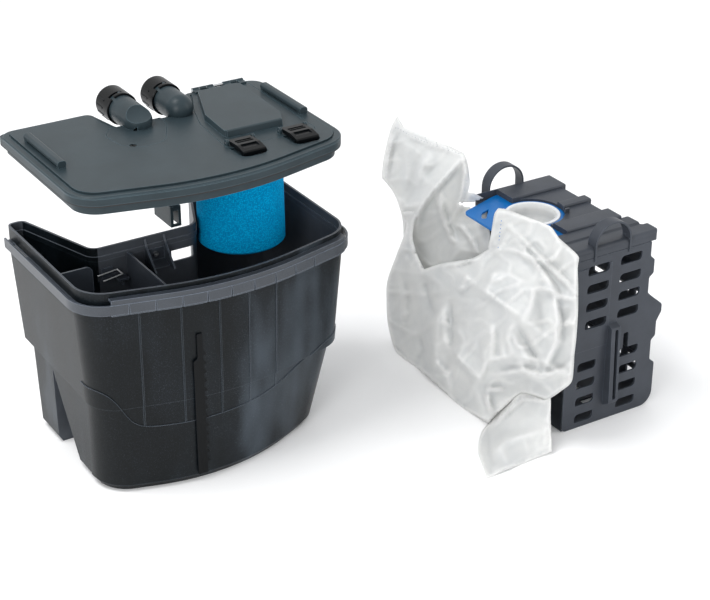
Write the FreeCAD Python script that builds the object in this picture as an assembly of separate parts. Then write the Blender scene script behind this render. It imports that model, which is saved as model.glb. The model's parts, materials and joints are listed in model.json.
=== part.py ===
import FreeCAD, Part
import math
import os

# Wet filter unit: a moulded tub, its lid with two hose ports, a foam filter that hangs under the lid,
# and a slotted cage with a fleece filter bag on a slide-in collar. The lid is shown lifted off.
# Millimetres. Origin on the floor, under the middle of the tub's own floor, +X along the tub's length,
# +Y to its back, +Z up. The plan outlines below are drawn about a point nearer the tub's recessed wall,
# and save() moves each piece from there into the frame.

Vec = FreeCAD.Vector

# Where the frame's origin lies in the drawing
ORIGIN_Y = -60.0

# Driving sizes of the tub
TUB_LENGTH = 398.0
TUB_HEIGHT = 305.0
TUB_BACK_Y = 137.0
TUB_CORNER_Y = -120.0
FRONT_BOW = 50.0
WALL = 3.0
RECESS_Y = 2.0
RECESS_LEFT_X = -131.0
RECESS_RIGHT_X = 22.0
WING_LEFT_X = -174.0
WING_RIGHT_X = 80.0
SHOULDER_HEIGHT = 130.0
STRAIGHT_RIM = 43.0
FOOT_CHAMFER = 6.0
FOOT_HEIGHT = 10.0

# Driving sizes of the lid
LID_LIFT = 120.0
LID_LOWER_TRAVEL = LID_LIFT
SEAT_GAP = 0.3
FLANGE_HEIGHT = 14.0
PANEL_RISE = 2.5
PANEL_INSET = 11.0
LID_WALL = 3.0
SKIRT_DEPTH = 13.0
SKIRT_INSET = 8.4
SKIRT_WALL = 2.5
NOTCH_FRONT_Y = 72.0
NOTCH_LEFT_X = -52.0
NOTCH_BACK_LEFT_X = -64.0
SEAL_HEIGHT = 2.0

# Grip bars
BAR_LEFT_X = -174.5
BAR_RIGHT_X = 183.5

# Hose ports
PORT_LEFT_X = -28.0
PORT_RIGHT_X = 40.0
PORT_RADIUS = 20.0
PORT_WALL = 2.4
PORT_END_Y = 140.0
PORT_ABOVE_PANEL = 7.0
CUFF_WALL = 3.0
CUFF_LENGTH = 38.0
CUFF_OVERHANG = 4.0
CUFF_FIT = 0.06
CUFF_TURN = 35.0
PIN_RADIUS = 2.0

# Foam filter
FOAM_X = 98.0
FOAM_Y = 8.0
FOAM_RADIUS = 62.0
FOAM_BORE = 41.0
FOAM_LENGTH = 147.0
CORE_WALL = 3.0

# Hatch and its buckles
HATCH_THICKNESS = 4.0
HATCH_GAP = 0.8
HATCH_BOX_HEIGHT = 8.0
HATCH_BOX_WALL = 2.5
HINGE_PIN_RADIUS = 2.0
HINGE_FIT = 0.06
BUCKLE_WIDTH = 34.0
BUCKLE_LENGTH = 42.0
BUCKLE_PIN_RADIUS = 1.5
BUCKLE_X = (60.0, 140.0)

# Filter cage
CAGE_X = 434.0
CAGE_Y = -314.0
CAGE_LENGTH = 154.0
CAGE_DEPTH = 229.0
CAGE_WALL = 3.0
DECK_Z = 281.0
SLOT_LENGTH = 38.0
SLOT_HEIGHT = 14.0
COLLAR_THICKNESS = 3.7
COLLAR_TRAVEL = 120.0
RING_X = 470.0
RING_Y = -169.0
RING_RADIUS = 40.0
RING_BORE = 30.0
SOFT_GAP = 0.5

# Filter bag: the middle that its front swells about, its standing back panel and its flap's tip
BAG_MIDDLE_Y = -180.0
BAG_MIDDLE_Z = 150.0
BAG_EAR_X = 404.0
BAG_EAR_THICKNESS = 10.0
BAG_FLAP_TIP_X = 279.0

# The level strip on the tub's front, a flat bar in a milled seat
STRIP_X = -58.0
STRIP_WIDTH = 15.0
STRIP_FRONT_Y = -154.6
STRIP_TOP_Z = 228.0
STRIP_THICKNESS = 1.6

# The inlet's cover plate, its snap, and the flat ducts under the lid
INLET_GAP = 0.6
INLET_CATCH_X = -64.0
INLET_CATCH_Y = -2.0
INLET_CATCH_RADIUS = 5.2
TUBE_ROOT_Y = 58.0
BORE_STOP_Y = 76.0
TUBE_CLEARANCE = 0.3
ELBOW_Y = 70.0
ELBOW_WALL = 4.0
DUCT_WIDTH = 26.0
STUB_X = -110.0
STUB_Y = -80.0
STUB_RADIUS = 18.0

# Hinge knuckles along X: the lid's posts stand between the hatch's arms
KNUCKLE_WIDTH = 10.0
HINGE_POSTS = (108.5, 157.0)
HATCH_KNUCKLES = (97.0, 120.0, 146.0, 168.0)

# Heights and places worked out from the sizes above
HALF = TUB_LENGTH / 2.0
FLANGE_Z = TUB_HEIGHT + SEAT_GAP + LID_LIFT
LID_TOP_Z = FLANGE_Z + FLANGE_HEIGHT
PANEL_Z = LID_TOP_Z + PANEL_RISE
PLATE_Z = LID_TOP_Z - LID_WALL
SKIRT_Z = FLANGE_Z - SKIRT_DEPTH
PORT_Z = PANEL_Z + PORT_ABOVE_PANEL
HATCH_Z = PANEL_Z - HATCH_THICKNESS
HINGE_Y = TUB_BACK_Y - 4.5
HINGE_Z = PANEL_Z + 1.5
BUCKLE_Y = -68.0
BUCKLE_Z = PANEL_Z + 4.5
CAGE_RIGHT = CAGE_X + CAGE_LENGTH
CAGE_BACK = CAGE_Y + CAGE_DEPTH
COLLAR_Z = DECK_Z - 2.0
SCREW_Z = TUB_HEIGHT - 28.0
CUFF_START_Y = PORT_END_Y + CUFF_OVERHANG - CUFF_LENGTH
CUFF_SLOT_Y = CUFF_START_Y + 8.0


# Helpers for outlines and solids

def offset_outline(points, grow):
    """Moves a counter-clockwise outline of (x, y, corner radius) outward by grow."""
    result = []
    count = len(points)
    for i in range(count):
        x, y, radius = points[i]
        xa, ya, _ = points[i - 1]
        xb, yb, _ = points[(i + 1) % count]
        before = Vec(x - xa, y - ya, 0).normalize()
        after = Vec(xb - x, yb - y, 0).normalize()
        normal_a = Vec(before.y, -before.x, 0)
        normal_b = Vec(after.y, -after.x, 0)
        shift = (normal_a + normal_b) * (grow / (1.0 + normal_a.dot(normal_b)))
        turn = before.x * after.y - before.y * after.x
        new_radius = radius + grow if turn > 0 else radius - grow
        result.append((x + shift.x, y + shift.y, max(new_radius, 0.4)))
    return result


def corner_arc(previous, corner, following, radius):
    """Gives the start, middle and end of the arc that rounds a corner."""
    to_a = (previous - corner).normalize()
    to_b = (following - corner).normalize()
    half = math.acos(max(-1.0, min(1.0, to_a.dot(to_b)))) / 2.0
    tangent = radius / math.tan(half)
    bisector = (to_a + to_b).normalize()
    middle = corner + bisector * (radius / math.sin(half) - radius)
    return corner + to_a * tangent, middle, corner + to_b * tangent


def rounded_wire(points, place):
    """A closed wire through rounded corners; place turns (u, v) into a point in space."""
    corners = [place(u, v) for u, v, _ in points]
    count = len(points)
    arcs = []
    for i in range(count):
        arcs.append(corner_arc(corners[i - 1], corners[i], corners[(i + 1) % count], points[i][2]))
    edges = []
    for i in range(count):
        start, middle, end = arcs[i]
        edges.append(Part.Arc(start, middle, end).toShape())
        edges.append(Part.LineSegment(end, arcs[(i + 1) % count][0]).toShape())
    return Part.Wire(edges)


def plan_wire(points, z):
    return rounded_wire(points, lambda u, v: Vec(u, v, z))


def prism(points, z0, z1):
    """An upright prism on a plan outline."""
    return Part.Face(plan_wire(points, z0)).extrude(Vec(0, 0, z1 - z0))


def tapered(points0, z0, points1, z1):
    """An upright body that changes from one plan outline to another with as many corners."""
    return Part.makeLoft([plan_wire(points0, z0), plan_wire(points1, z1)], True, True)


def box(x0, x1, y0, y1, z0, z1):
    return Part.makeBox(x1 - x0, y1 - y0, z1 - z0, Vec(x0, y0, z0))


def upright(x, y, radius, z0, z1):
    return Part.makeCylinder(radius, z1 - z0, Vec(x, y, z0))


def along_x(y, z, radius, x0, x1):
    return Part.makeCylinder(radius, x1 - x0, Vec(x0, y, z), Vec(1, 0, 0))


def along_y(x, z, radius, y0, y1):
    return Part.makeCylinder(radius, y1 - y0, Vec(x, y0, z), Vec(0, 1, 0))


def slab_xz(points, y0, y1):
    """A flat piece standing in the XZ plane, from (x, z, radius) corners."""
    wire = rounded_wire(points, lambda u, v: Vec(u, y0, v))
    return Part.Face(wire).extrude(Vec(0, y1 - y0, 0))


def slab_yz(points, x0, x1):
    """A flat piece standing in the YZ plane, from (y, z, radius) corners."""
    wire = rounded_wire(points, lambda u, v: Vec(x0, u, v))
    return Part.Face(wire).extrude(Vec(x1 - x0, 0, 0))


def weld(shapes):
    return shapes[0].fuse(shapes[1:])


def join(shapes):
    return weld(shapes).removeSplitter()


def save(name, shape):
    """Moves a finished piece into the frame and writes it."""
    placed = shape.copy()
    placed.translate(Vec(0, -ORIGIN_Y, 0))
    placed.exportStep("parts/" + name + ".step")


# Plan outlines of the tub, the lid and the hatch

def tub_outline(half_left, half_right, back_y, bow_x, bow, left_y, right_y, radii):
    """Nine corners, from the front left one round to the back left one."""
    front_r, bow_r, back_r, wing_r, end_r = radii
    slope_right = (WING_RIGHT_X - RECESS_RIGHT_X) / (TUB_BACK_Y - RECESS_Y)
    slope_left = (WING_LEFT_X - RECESS_LEFT_X) / (TUB_BACK_Y - RECESS_Y)
    reach = back_y - RECESS_Y
    return [
        (-half_left, left_y, front_r),
        (bow_x, TUB_CORNER_Y - bow, bow_r),
        (half_right, right_y, front_r),
        (half_right, back_y, back_r),
        (RECESS_RIGHT_X + slope_right * reach, back_y, wing_r),
        (RECESS_RIGHT_X, RECESS_Y, 20.0),
        (RECESS_LEFT_X, RECESS_Y, 16.0),
        (RECESS_LEFT_X + slope_left * reach, back_y, end_r),
        (-half_left, back_y, end_r),
    ]


def rim_outline(grow=0.0):
    radii = (46.0, 390.0, 22.0, 14.0, 10.5)
    outline = tub_outline(HALF, HALF, TUB_BACK_Y, 0.0, FRONT_BOW, TUB_CORNER_Y, TUB_CORNER_Y, radii)
    return offset_outline(outline, grow)


def shoulder_outline(grow=0.0):
    radii = (47.0, 360.0, 20.0, 13.0, 8.5)
    outline = tub_outline(HALF - 8.0, HALF - 9.0, TUB_BACK_Y - 4.0, -3.0, FRONT_BOW,
                          TUB_CORNER_Y, TUB_CORNER_Y + 8.0, radii)
    return offset_outline(outline, grow)


def waist_outline(grow=0.0):
    radii = (47.0, 340.0, 20.0, 13.0, 8.5)
    outline = tub_outline(HALF - 12.0, HALF - 17.0, TUB_BACK_Y - 25.0, -5.0, FRONT_BOW,
                          TUB_CORNER_Y + 1.0, TUB_CORNER_Y + 12.0, radii)
    return offset_outline(outline, grow)


def base_outline(grow=0.0):
    radii = (52.0, 290.0, 22.0, 13.0, 8.5)
    outline = tub_outline(HALF - 13.0, HALF - 41.0, TUB_BACK_Y - 33.0, -12.0, FRONT_BOW + 2.0,
                          TUB_CORNER_Y + 2.0, TUB_CORNER_Y + 30.0, radii)
    return offset_outline(outline, grow)


def lid_outline(grow=0.0):
    slope = (WING_RIGHT_X - RECESS_RIGHT_X) / (TUB_BACK_Y - RECESS_Y)
    notch_right = RECESS_RIGHT_X + slope * (NOTCH_FRONT_Y - RECESS_Y)
    outline = [
        (-HALF, TUB_CORNER_Y, 46.0),
        (0.0, TUB_CORNER_Y - FRONT_BOW, 390.0),
        (HALF, TUB_CORNER_Y, 46.0),
        (HALF, TUB_BACK_Y, 22.0),
        (WING_RIGHT_X, TUB_BACK_Y, 14.0),
        (notch_right, NOTCH_FRONT_Y, 8.0),
        (NOTCH_LEFT_X, NOTCH_FRONT_Y, 8.0),
        (NOTCH_BACK_LEFT_X, TUB_BACK_Y, 12.0),
        (-HALF, TUB_BACK_Y, 22.0),
    ]
    return offset_outline(outline, grow)


def hatch_outline(grow=0.0):
    outline = [
        (37.0, -78.0, 8.0),
        (172.0, -78.0, 8.0),
        (176.0, 127.0, 6.0),
        (89.0, 127.0, 6.0),
        (60.0, 62.0, 20.0),
        (46.0, 18.0, 20.0),
    ]
    return offset_outline(outline, grow)


def hatch_box_outline(grow=0.0):
    outline = [
        (53.0, -41.0, 6.0),
        (139.0, -41.0, 5.0),
        (150.0, -17.0, 10.0),
        (156.0, 112.0, 7.0),
        (91.0, 112.0, 7.0),
        (58.0, 26.0, 16.0),
    ]
    return offset_outline(outline, grow)


# Tub

def tub_body(grow, z_floor, z_top, shoulder_z):
    """The tub's outer form, or its cavity where grow is negative."""
    foot = tapered(base_outline(grow - FOOT_CHAMFER), z_floor, base_outline(grow), FOOT_HEIGHT)
    lower = tapered(base_outline(grow), FOOT_HEIGHT, waist_outline(grow), shoulder_z)
    upper = tapered(shoulder_outline(grow), shoulder_z, rim_outline(grow), TUB_HEIGHT - STRAIGHT_RIM)
    rim = prism(rim_outline(grow), TUB_HEIGHT - STRAIGHT_RIM, z_top)
    return weld([foot, lower, upper, rim])


def step_region():
    """The part of the front that stands a little proud, under an S-shaped line."""
    line = [(-215.0, 152.0), (-172.0, 148.0), (-158.0, 126.0), (-141.0, 104.0), (-110.0, 97.0),
            (-49.0, 96.0), (18.0, 100.0), (67.0, 109.0), (110.0, 124.0), (215.0, 148.0)]
    top = Part.BSplineCurve()
    top.interpolate([Vec(x, -190.0, z) for x, z in line])
    first = Vec(line[0][0], -190.0, line[0][1])
    last = Vec(line[-1][0], -190.0, line[-1][1])
    low_right = Vec(last.x, -190.0, FOOT_HEIGHT)
    low_left = Vec(first.x, -190.0, FOOT_HEIGHT)
    edges = [top.toShape(), Part.LineSegment(last, low_right).toShape(),
             Part.LineSegment(low_right, low_left).toShape(), Part.LineSegment(low_left, first).toShape()]
    return Part.Face(Part.Wire(edges)).extrude(Vec(0, 115.0, 0))


def side_pocket(grow):
    """A wedge-shaped hollow in the left side, between the back leg and the front body."""
    wedge = [(40.0 + grow, 120.0 + 2.0 * grow, 1.0), (40.0 + grow, -1.0, 1.0), (-40.0 - grow, -1.0, 1.0)]
    return slab_yz(wedge, -HALF - 20.0, -HALF + 36.0 + grow)


def tub_shell():
    outer = tub_body(0.0, 0.0, TUB_HEIGHT, SHOULDER_HEIGHT)
    proud = tub_body(1.4, 0.0, TUB_HEIGHT - 34.0, SHOULDER_HEIGHT).common(step_region())
    ribs = [box(x - 1.0, x + 1.0, -190.0, -110.0, FOOT_HEIGHT, TUB_HEIGHT - 34.0)
            for x in (-131.0, -77.0, -24.0, 20.0, 64.0)]
    rib_form = tub_body(1.0, 0.0, TUB_HEIGHT - 34.0, SHOULDER_HEIGHT)
    ribs = [rib.common(rib_form) for rib in ribs]
    outer = weld([outer, proud] + ribs).cut(side_pocket(0.0))
    cavity = tub_body(-WALL, WALL, TUB_HEIGHT + 1.0, SHOULDER_HEIGHT + WALL)
    cavity = cavity.cut(side_pocket(WALL))
    bead = prism(rim_outline(-WALL + 0.5), TUB_HEIGHT - 19.0, TUB_HEIGHT - 12.0)
    bead = bead.cut(prism(rim_outline(-WALL - 1.5), TUB_HEIGHT - 20.0, TUB_HEIGHT - 11.0))
    window = box(-16.0, 18.0, RECESS_Y - 10.0, RECESS_Y + 10.0, TUB_HEIGHT - 48.0, TUB_HEIGHT - 31.0)
    shell = weld([outer.cut(cavity), bead])
    strip_seat = box(STRIP_X - STRIP_WIDTH / 2.0, STRIP_X + STRIP_WIDTH / 2.0, -190.0, STRIP_FRONT_Y,
                     FOOT_HEIGHT + 2.0, STRIP_TOP_Z)
    return shell.cut(window).cut(strip_seat)


def level_strip():
    """A flat bar with a stepped top, let into the front."""
    x0 = STRIP_X - STRIP_WIDTH / 2.0 + 0.3
    x1 = STRIP_X + STRIP_WIDTH / 2.0 - 0.3
    y1 = STRIP_FRONT_Y
    y0 = y1 - STRIP_THICKNESS
    z0 = FOOT_HEIGHT + 2.4
    z1 = STRIP_TOP_Z - 0.4
    outline = [(x0, z0, 1.0), (x1, z0, 1.0), (x1, z1, 1.0), (x0 + 6.0, z1, 1.0), (x0 + 6.0, z1 - 36.0, 1.0),
               (x0, z1 - 40.0, 1.0)]
    return slab_xz(outline, y0, y1)


def rim_band():
    """The outer ring that the tub is carried by, with a ribbed skirt along the front."""
    z_web = TUB_HEIGHT - 22.0
    web = prism(rim_outline(9.0), z_web, z_web + 4.0).cut(prism(rim_outline(0.0), z_web - 1.0, z_web + 5.0))
    edge = prism(rim_outline(9.0), z_web - 6.0, z_web + 8.0)
    edge = edge.cut(prism(rim_outline(6.5), z_web - 7.0, z_web + 9.0))
    ring = web.fuse(edge)
    z_low = TUB_HEIGHT - 30.0
    z_high = TUB_HEIGHT - 7.0
    skirt = prism(rim_outline(8.4), z_low, z_high).cut(prism(rim_outline(5.8), z_low - 1.0, z_high - 2.6))
    skirt = skirt.cut(prism(rim_outline(0.0), z_low - 1.0, z_high + 1.0))
    skirt = skirt.common(box(-168.0, 186.0, -200.0, -100.0, z_low - 2.0, z_high + 2.0))
    band = join([ring, skirt])
    band = band.cut(box(-HALF + 10.0, HALF - 10.0, -60.0, 200.0, z_low - 5.0, z_high + 5.0))
    band = band.cut(box(-HALF - 20.0, HALF + 20.0, TUB_BACK_Y - 12.0, 200.0, z_low - 5.0, z_high + 5.0))
    for i in range(9):
        x = -146.0 + 34.0 * i
        nick = slab_xz([(x - 1.6, z_low - 1.0, 0.2), (x + 1.6, z_low - 1.0, 0.2), (x, z_high - 6.0, 0.1)],
                       -200.0, -100.0)
        nick = nick.cut(prism(rim_outline(7.2), z_low - 2.0, z_high + 1.0))
        band = band.cut(nick)
    slot_ring = prism(rim_outline(6.0), z_web - 1.0, z_web + 5.0)
    slot_ring = slot_ring.cut(prism(rim_outline(1.2), z_web - 1.0, z_web + 5.0))
    corner_gap = slot_ring.common(box(190.0, HALF + 20.0, -112.0, -70.0, z_web - 2.0, z_web + 6.0))
    left_gap = slot_ring.common(box(-HALF - 20.0, -HALF + 5.0, 60.0, 110.0, z_web - 2.0, z_web + 6.0))
    return band.cut(corner_gap).cut(left_gap)


def divider():
    """The cross wall that parts the left chamber from the right one."""
    x = -82.0
    sheet = box(x - 1.25, x + 1.25, -190.0, RECESS_Y, WALL, TUB_HEIGHT - 14.0)
    inside = tub_body(-WALL, WALL, TUB_HEIGHT, SHOULDER_HEIGHT + WALL)
    bead_clear = prism(rim_outline(-WALL - 1.5), TUB_HEIGHT - 19.0, TUB_HEIGHT)
    low = sheet.common(inside).common(box(-200.0, 0.0, -200.0, 50.0, 0.0, TUB_HEIGHT - 19.0))
    high = sheet.common(bead_clear)
    return join([low, high])


def baffle_panel():
    """A short upright sheet near the left end, with one rounded top corner."""
    top = TUB_HEIGHT - 14.0
    sheet = slab_xz([(-HALF, 190.0, 1.0), (-141.0, 190.0, 4.0), (-141.0, top, 9.0), (-HALF, top, 1.0)],
                    -18.5, -16.0)
    inside = tub_body(-WALL, WALL, TUB_HEIGHT, SHOULDER_HEIGHT + WALL)
    inside = inside.cut(prism(rim_outline(1.0), TUB_HEIGHT - 19.0, TUB_HEIGHT))
    upper = prism(rim_outline(-WALL - 1.5), TUB_HEIGHT - 19.0, TUB_HEIGHT)
    return join([sheet.common(inside), sheet.common(upper)])


def wall_bracket():
    """Two gussets and a ramp on the inside of the recessed wall."""
    face = RECESS_Y - WALL
    top = TUB_HEIGHT - 2.0
    gusset = [(face, top, 0.3), (face - 4.4, TUB_HEIGHT - 13.5, 1.0), (face - 33.0, TUB_HEIGHT - 43.0, 1.0),
              (face, TUB_HEIGHT - 43.0, 0.3)]
    keep = prism(rim_outline(-WALL), 0.0, TUB_HEIGHT)
    keep = keep.cut(prism(rim_outline(-WALL + 1.0), TUB_HEIGHT - 19.0, TUB_HEIGHT - 12.0)
                    .cut(prism(rim_outline(-WALL - 1.5), TUB_HEIGHT - 19.0, TUB_HEIGHT - 12.0)))
    left = slab_yz(gusset, -56.0, -53.5)
    right = slab_yz(gusset, -27.5, -25.0)
    ramp = [(face, TUB_HEIGHT - 36.0, 0.3), (face - 20.0, TUB_HEIGHT - 43.0, 0.5), (face, TUB_HEIGHT - 43.0, 0.3)]
    middle = slab_yz(ramp, -54.0, -27.0)
    plate = box(-54.0, -27.0, face - 2.0, face, TUB_HEIGHT - 40.0, TUB_HEIGHT - 19.5)
    bracket = join([left, right, middle, plate]).common(keep)
    return bracket.cut(along_y(-40.5, SCREW_Z, 1.7, face - 10.0, face))


def bracket_screw():
    face = RECESS_Y - WALL
    head = along_y(-40.5, SCREW_Z, 3.4, face - 4.2, face - 2.0)
    shank = along_y(-40.5, SCREW_Z, 1.7, face - 2.0, face)
    cross = join([box(-42.7, -38.3, face - 4.3, face - 3.2, SCREW_Z - 0.4, SCREW_Z + 0.4),
                  box(-40.9, -40.1, face - 4.3, face - 3.2, SCREW_Z - 2.2, SCREW_Z + 2.2)])
    return join([head, shank]).cut(cross)


def spring_clip():
    """A bent wire clip held by a saddle on the recessed wall."""
    wire_radius = 1.2
    face = RECESS_Y - WALL
    z = TUB_HEIGHT - 42.0
    y = face - 4.0
    points = [Vec(-128.0, y, z - 4.0), Vec(-128.0, y, z + 4.0), Vec(-100.0, y, z + 7.0),
              Vec(-96.0, y - 9.0, z + 3.0), Vec(-124.0, y - 9.0, z - 1.0)]
    pieces = []
    for a, b in zip(points[:-1], points[1:]):
        run = b - a
        pieces.append(Part.makeCylinder(wire_radius, run.Length, a, run))
    for corner in points:
        pieces.append(Part.makeSphere(wire_radius, corner))
    return join(pieces)


def clip_saddle():
    """The small tab and saddle that hold the clip."""
    face = RECESS_Y - WALL
    z = TUB_HEIGHT - 42.0
    saddle = box(-122.0, -106.0, face - 2.7, face, z - 2.0, z + 12.0)
    tab = box(-102.0, -86.0, face - 12.0, face, z - 8.0, z - 5.6)
    rib = box(-95.2, -92.8, face - 9.0, face, z - 16.0, z - 8.0)
    bridge = box(-108.0, -101.0, face - 2.7, face, z - 8.0, z + 1.0)
    return join([saddle, bridge, tab, rib])


# Lid

def lid_cuts():
    """What the hatch, the inlet plate, the tubes and the ducts take out of the lid's pieces."""
    low = SKIRT_Z - 1.0
    cuts = [prism(hatch_outline(-10.0), low, PANEL_Z + 1.0)]
    cuts.append(prism(hatch_outline(HATCH_GAP), HATCH_Z - 0.4, PANEL_Z + 1.0))
    cuts.append(prism(inlet_plate_outline(INLET_GAP), low, PANEL_Z + 1.0))
    cuts.append(prism(channel_outline(0.2), low, PLATE_Z))
    cuts.append(prism(outlet_channel_outline(0.2), low, outlet_top()))
    tube = PORT_RADIUS + TUBE_CLEARANCE
    for x, y in ((PORT_LEFT_X, TUBE_ROOT_Y), (PORT_RIGHT_X, ELBOW_Y)):
        cuts.append(Part.makeSphere(tube, Vec(x, y, PORT_Z)))
        cuts.append(along_y(x, PORT_Z, tube, y, TUB_BACK_Y + 5.0))
    return cuts


def hatch_ledge():
    """The thick step under the hatch that holds its seal."""
    return prism(hatch_outline(3.0), outlet_top(), HATCH_Z - 0.4)


def lid_shell():
    """The lid's top: a flanged plate with a raised panel, a hatch opening and the hinge posts."""
    plate = prism(lid_outline(), PLATE_Z, LID_TOP_Z)
    plate = plate.makeChamfer(1.6, [e for e in plate.Edges if is_level(e, LID_TOP_Z)])
    panel = prism(lid_outline(-PANEL_INSET), PLATE_Z + 1.0, PANEL_Z)
    groove = prism(lid_outline(-PANEL_INSET + 2.0), LID_TOP_Z - 1.2, LID_TOP_Z + 1.0)
    groove = groove.cut(prism(lid_outline(-PANEL_INSET), LID_TOP_Z - 2.0, LID_TOP_Z + 2.0))
    body = join([plate, panel, hatch_ledge()]).cut(groove)
    for cutter in lid_cuts():
        body = body.cut(cutter)
    body = body.cut(seal_groove())
    for x in BUCKLE_X:
        pocket = [(x - 21.0, -116.0, 14.0), (x + 21.0, -116.0, 14.0), (x + 21.0, -76.0, 2.0), (x - 21.0, -76.0, 2.0)]
        body = body.cut(prism(pocket, LID_TOP_Z - 0.6, PANEL_Z + 1.0))
    body = body.cut(upright(INLET_CATCH_X, INLET_CATCH_Y, INLET_CATCH_RADIUS, PLATE_Z - 1.0, PANEL_Z + 1.0))
    half = KNUCKLE_WIDTH / 2.0
    knuckles = []
    for x in HINGE_POSTS:
        post = box(x - half, x + half, HINGE_Y - 3.2, HINGE_Y + 3.2, PANEL_Z - 3.0, HINGE_Z)
        knuckles.append(post.fuse(along_x(HINGE_Y, HINGE_Z, 3.2, x - half, x + half)))
    body = join([body] + knuckles)
    return body.cut(along_x(HINGE_Y, HINGE_Z, HINGE_PIN_RADIUS, 80.0, 190.0))


def lid_flange():
    """The wall round the lid's edge, with the inner wall that carries the seal along the recess."""
    flange = prism(lid_outline(), FLANGE_Z + SEAL_HEIGHT, PLATE_Z)
    flange = flange.cut(prism(lid_outline(-LID_WALL), FLANGE_Z, PLATE_Z + 1.0))
    seat = prism(rim_outline(), FLANGE_Z + SEAL_HEIGHT, PLATE_Z)
    seat = seat.cut(prism(rim_outline(-LID_WALL), FLANGE_Z, PLATE_Z + 1.0))
    body = join([flange, seat])
    for cutter in lid_cuts():
        body = body.cut(cutter)
    return body


def lid_skirt():
    """The ring under the lid that drops inside the tub's rim."""
    body = prism(rim_outline(-SKIRT_INSET), SKIRT_Z, PLATE_Z)
    body = body.cut(prism(rim_outline(-SKIRT_INSET - SKIRT_WALL), SKIRT_Z - 1.0, PLATE_Z + 1.0))
    body = body.cut(hatch_ledge())
    for cutter in lid_cuts():
        body = body.cut(cutter)
    return body


def is_level(edge, z):
    """True for an edge that lies at one height."""
    return all(abs(v.Point.z - z) < 0.01 for v in edge.Vertexes) and abs(edge.CenterOfMass.z - z) < 0.01


def seal_groove():
    groove = prism(hatch_outline(-3.0), HATCH_Z - 2.2, HATCH_Z - 0.4)
    return groove.cut(prism(hatch_outline(-8.0), HATCH_Z - 3.0, HATCH_Z))


def lid_seal():
    """The rubber ring that the lid rests on when it is down."""
    ring = prism(rim_outline(-0.2), FLANGE_Z, FLANGE_Z + SEAL_HEIGHT)
    return ring.cut(prism(rim_outline(-LID_WALL), FLANGE_Z - 1.0, FLANGE_Z + SEAL_HEIGHT + 1.0))


def hatch_seal():
    groove = prism(hatch_outline(-3.0), HATCH_Z - 2.2, HATCH_Z - 0.3)
    return groove.cut(prism(hatch_outline(-8.0), HATCH_Z - 3.0, HATCH_Z))


def inlet_plate_outline(grow=0.0):
    outline = [
        (-78.0, 8.0, 14.0),
        (-58.0, -14.0, 26.0),
        (-20.0, -10.0, 26.0),
        (6.0, 40.0, 24.0),
        (12.0, NOTCH_FRONT_Y - 4.0, 4.0),
        (-66.0, NOTCH_FRONT_Y - 4.0, 4.0),
        (-82.0, 44.0, 14.0),
    ]
    return offset_outline(outline, grow)


def channel_outline(grow=0.0):
    """The flat duct under the lid, from the inlet to the stub."""
    outline = [
        (STUB_X - 10.0, STUB_Y - 24.0, 22.0),
        (STUB_X + 26.0, STUB_Y - 18.0, 22.0),
        (-8.0, 30.0, 20.0),
        (-8.0, 62.0, 10.0),
        (-58.0, 62.0, 10.0),
        (STUB_X - 26.0, STUB_Y + 10.0, 22.0),
    ]
    return offset_outline(outline, grow)


def inlet_port():
    """The cover plate over the inlet, with the hose tube moulded to it."""
    plate = prism(inlet_plate_outline(), PLATE_Z, PANEL_Z)
    tube = along_y(PORT_LEFT_X, PORT_Z, PORT_RADIUS, TUBE_ROOT_Y, PORT_END_Y)
    nose = Part.makeSphere(PORT_RADIUS, Vec(PORT_LEFT_X, TUBE_ROOT_Y, PORT_Z))
    root = join([tube, nose])
    below = box(PORT_LEFT_X - 40.0, PORT_LEFT_X + 40.0, 20.0, NOTCH_FRONT_Y - 4.0, PORT_Z - 40.0, PLATE_Z)
    root = root.cut(below)
    scoop = Part.makeCylinder(34.0, 60.0, Vec(PORT_LEFT_X - 30.0, 36.0, PORT_Z + 36.0), Vec(1, 0, 0.08))
    root = root.cut(scoop)
    bore = along_y(PORT_LEFT_X, PORT_Z, PORT_RADIUS - PORT_WALL, BORE_STOP_Y, PORT_END_Y + 1.0)
    down = upright(PORT_LEFT_X - 6.0, 44.0, 12.0, PLATE_Z - 1.0, PANEL_Z - 2.0)
    pin = upright(PORT_LEFT_X, CUFF_SLOT_Y, PIN_RADIUS, PORT_Z + PORT_RADIUS - 1.0, PORT_Z + PORT_RADIUS + 2.6)
    slant = Part.makeCylinder(10.0, 48.0, Vec(PORT_LEFT_X - 4.0, 42.0, PANEL_Z - 3.0), Vec(0, 1, 0.22))
    body = join([plate, root]).cut(bore).cut(down).cut(slant)
    body = body.cut(upright(INLET_CATCH_X, INLET_CATCH_Y, INLET_CATCH_RADIUS, PLATE_Z - 1.0, PANEL_Z + 1.0))
    return join([body, pin])


def inlet_catch():
    """The small snap that holds the cover plate."""
    head = upright(INLET_CATCH_X, INLET_CATCH_Y, 4.9, PLATE_Z, PANEL_Z - 0.6)
    slot = box(INLET_CATCH_X - 0.8, INLET_CATCH_X + 0.8, INLET_CATCH_Y - 4.0, INLET_CATCH_Y + 4.0,
               PANEL_Z - 1.8, PANEL_Z)
    return head.cut(slot)


def inlet_channel():
    """The flat duct that leads from the inlet to the stub over the left chamber."""
    floor_z = FLANGE_Z + SEAL_HEIGHT
    outer = prism(channel_outline(), floor_z, PLATE_Z)
    inner = prism(channel_outline(-2.0), floor_z + 2.0, PLATE_Z + 1.0)
    stub = upright(STUB_X, STUB_Y, STUB_RADIUS, FLANGE_Z - 25.0, floor_z + 1.0)
    bore = upright(STUB_X, STUB_Y, STUB_RADIUS - 2.0, FLANGE_Z - 26.0, floor_z + 3.0)
    return join([outer.cut(inner), stub]).cut(bore)


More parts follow.
